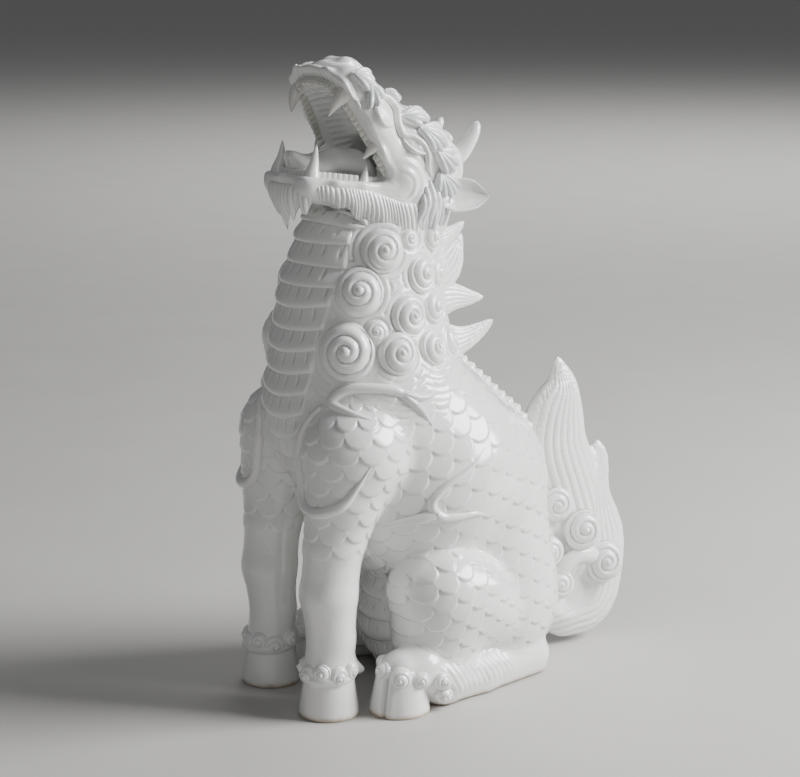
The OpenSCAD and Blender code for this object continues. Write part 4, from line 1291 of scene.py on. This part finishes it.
def ear():
    """A pointed leaf, cupped towards the front and the side, with a rolled rim."""
    base, tip = HINGE + [50, 45, -15], HINGE + [64, 92, -13]
    along = unit(tip - base)
    facing = unit(np.array([0.86, -0.42, 0.22]))
    facing = unit(facing - (facing @ along) * along)
    across = np.cross(facing, along)
    length = float(np.linalg.norm(tip - base))
    s = np.linspace(0, 1, 40)[:, None]
    w = np.linspace(-1, 1, 33)[None, :]
    half = 15.5 * np.interp(s, [0, 0.12, 0.3, 0.5, 0.7, 0.85, 0.95, 1],
                            [0.45, 0.72, 0.98, 1.0, 0.84, 0.52, 0.22, 0.03])
    cup = 0.5 * half * (w * w - 0.6) * smooth_step(0, 0.25, s)
    roll = 0.12 * half * np.exp(-((np.abs(w) - 0.9) / 0.12) ** 2) * smooth_step(0, 0.2, s)
    vein = 0.3 * np.cos(w * 9) * smooth_step(0.9, 0.5, np.abs(w)) * smooth_step(0.1, 0.4, s)
    droop = -5 * s * s
    sideways = w * half + 2.5 * np.sin(math.pi * s)
    spot = base + along * (length * s)[..., None] + across * sideways[..., None]
    thick = 1.5 + 2.2 * smooth_step(0.35, 0, s) + 0 * w
    front = spot + facing * (cup + roll + vein + thick + droop)[..., None]
    back = spot + facing * (cup - thick - 1.5 * (1 - w * w) + droop)[..., None]
    root_path = smooth_path([base - 12 * along, base - 2 * along, base + 10 * along], 5)
    root_wide = profile(11, [0, 0.6, 1], [8.0, 8.5, 4.0])
    root_deep = profile(11, [0, 0.6, 1], [6.0, 6.0, 2.0])
    root = tube(root_path, facing, root_wide, root_deep, 20)
    return [slab(front, back), root]


both_sides("ear", ear(), "glaze_body")


# --- beard, fringe and cheek locks ---
def skirt(line, pitch, ridge, step=0.55, thick=2.4, belly=3.0):
    """A hanging sheet of ridged hair. Each point of the line carries a root, a tip and the way it faces."""
    places, walk = walked(line, step)
    root, tip, out = places[:, :3], places[:, 3:6], unit(places[:, 6:])
    strand = np.abs(np.cos(math.pi * (walk + 1.4 * np.sin(walk / 5.9)) / pitch))
    tip = tip + (tip - root) * (0.07 * strand - 0.07 + 0.07 * np.sin(walk / 2.4))[:, None]
    s = np.linspace(0, 1, 22)[:, None]
    bow = belly * np.sin(math.pi * np.minimum(s * 1.15, 1))
    spot = root + (tip - root) * s[..., None] + out * bow[..., None]
    full = thick * np.sqrt(np.maximum(1 - s ** 4, 0)) * (0.75 + 0.25 * np.sin(math.pi * s))
    ridges = ridge * (np.sqrt(strand) - 0.5) * smooth_step(0, 0.12, s) * smooth_step(1.0, 0.9, s)
    drape = 0.5 * ridge * np.sin(walk / 4.3 + 1.4 * s) * s
    front = spot + out * (full + ridges + drape)[..., None]
    back = spot - out * full[..., None]
    return slab(front, back)


def hanging(x, u, n, length, sweep, facing):
    """A root on the lower jaw, the tip below it, and the way the hair faces there."""
    root = lower(x, u, n)
    return (*root, *(root + [sweep[0], sweep[1], -length]), *facing)


half_beard = [hanging(*row) for row in (
    (36, 82, -8, 15, (-3, 2), (0.75, -0.66, 0)), (31, 87, -8, 27, (-5, 3), (0.5, -0.85, 0)),
    (24, 90, -8, 22, (-6, 4), (0.35, -0.93, 0)), (17, 92, -8, 33, (-6, 5), (0.22, -0.97, 0)),
    (9, 93, -8, 29, (-3, 5), (0.1, -1, 0))
)]
other_half = [(-q[0], *q[1:3], -q[3], *q[4:6], -q[6], *q[7:]) for q in half_beard[::-1]]
beard = skirt(half_beard + [hanging(0, 94, -8, 44, (0, 6), (0, -1, 0))] + other_half, 5.2, 2.4, belly=2.0)
piece("beard_glazed", [beard], "beard", "glaze_hair")

fringe_line = [hanging(*row) for row in (
    (38, 80, -3, 14.5, (-1, 2), (0.8, -0.6, 0)), (45, 68, -4, 19.5, (-1, 3), (0.95, -0.3, 0)),
    (49, 56, -4, 22.5, (-1, 4), (1, -0.15, 0)), (51, 45, -5, 29.5, (-2, 5), (1, -0.1, 0)),
    (52, 34, -6, 28.5, (-2, 5), (1, 0, 0)), (53, 24, -8, 36.5, (-2, 6), (1, 0, 0)),
    (55, 12, -11, 38.5, (-3, 6), (1, 0.05, 0)), (57, 0, -14, 43.5, (-3, 6), (1, 0.1, 0)),
    (58, -11, -14, 40.5, (-4, 6), (1, 0.15, 0)), (57, -21, -11, 36.5, (-5, 6), (1, 0.2, 0)),
    (55, -28, -7, 26.5, (-5, 5), (1, 0.3, 0))
)]
fringe = skirt(fringe_line, 3.7, 1.7)
both_sides("jaw_fringe", [fringe], "glaze_hair")

cheek_plan = [(24, -2, 40, -3, 4.6), (31, 4, 50, 0, 4.2), (38, 2, 46, 5, 4.8), (45, -4, 48, 3, 4.4),
              (51, -10, 36, 8, 4.2), (34, -8, 56, 2, 4.0), (20, -8, 34, -5, 3.8)]
cheek_taper = np.array([0.35, 0.8, 1, 0.95, 0.75, 0.5, 0.12])
locks = []
for y, z, length, lean, wide in cheek_plan:
    start = HINGE + [56 - 0.12 * abs(y - 24), y, z]
    fall = [start, start + [2, 0.3 * lean + 1, -0.35 * length], start + [1, 0.8 * lean - 1, -0.7 * length],
            start + [-2, lean, -length]]
    locks.append(laid(fall, wide, 4.0, 0.5, 8, 0.1, cheek_taper))
both_sides("cheek_locks", locks, "glaze_hair")

# --- floor, light and camera ---
EYE_POINT = np.array([1.670, -1.107, 0.677])
LOOK = math.radians(58)
PITCH = math.radians(11.2)

camera_data = bpy.data.cameras.new("camera")
camera_data.lens = 94.5
camera_data.sensor_width = 36
camera = bpy.data.objects.new("camera", camera_data)
camera.location = EYE_POINT
camera.rotation_euler = (math.pi / 2 - PITCH, 0, LOOK)
bpy.context.scene.collection.objects.link(camera)
bpy.context.scene.camera = camera


def plain_floor():
    """A pale matt board that runs off to the horizon."""
    material = bpy.data.materials.new("floor_paint")
    material.use_nodes = True
    nodes = material.node_tree.nodes
    links = material.node_tree.links
    place = nodes.new("ShaderNodeTexCoord")
    grain = nodes.new("ShaderNodeTexNoise")
    grain.inputs["Scale"].default_value = 6
    links.new(place.outputs["Object"], grain.inputs["Vector"])
    tint = nodes.new("ShaderNodeValToRGB")
    tint.color_ramp.elements[0].color = (0.5, 0.49, 0.475, 1)
    tint.color_ramp.elements[1].color = (0.56, 0.55, 0.535, 1)
    links.new(grain.outputs["Fac"], tint.inputs["Fac"])
    links.new(tint.outputs["Color"], nodes["Principled BSDF"].inputs["Base Color"])
    nodes["Principled BSDF"].inputs["Roughness"].default_value = 0.62
    mesh = bpy.data.meshes.new("floor")
    mesh.from_pydata([(-300, -300, 0), (300, -300, 0), (300, 300, 0), (-300, 300, 0)], [], [(0, 1, 2, 3)])
    mesh.materials.append(material)
    floor = bpy.data.objects.new("floor", mesh)
    bpy.context.scene.collection.objects.link(floor)
    floor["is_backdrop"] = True


plain_floor()


def area_light(name, place, target, size, power):
    light = bpy.data.lights.new(name, "AREA")
    light.size = size
    light.energy = power
    made = bpy.data.objects.new(name, light)
    made.location = place
    made.rotation_euler = Vector(np.array(target) - np.array(place)).to_track_quat("-Z", "Y").to_euler()
    bpy.context.scene.collection.objects.link(made)


area_light("key", (1.25, 1.75, 1.5), (0, 0, 0.3), 1.4, 165)
area_light("fill", (2.3, -1.9, 1.8), (0, 0, 0.3), 1.8, 7)
area_light("backdrop", (-3.5, 4.0, 3.5), (-5.0, 4.5, 0), 4.0, 260)
world = bpy.data.worlds.new("studio")
world.use_nodes = True
world.node_tree.nodes["Background"].inputs["Color"].default_value = (0.56, 0.57, 0.585, 1)
world.node_tree.nodes["Background"].inputs["Strength"].default_value = 0.24
bpy.context.scene.world = world

boxes = {"cad": cad_box, "visual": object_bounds()}
{k: [[float(x) for x in corner] for corner in v] for k, v in boxes.items()}
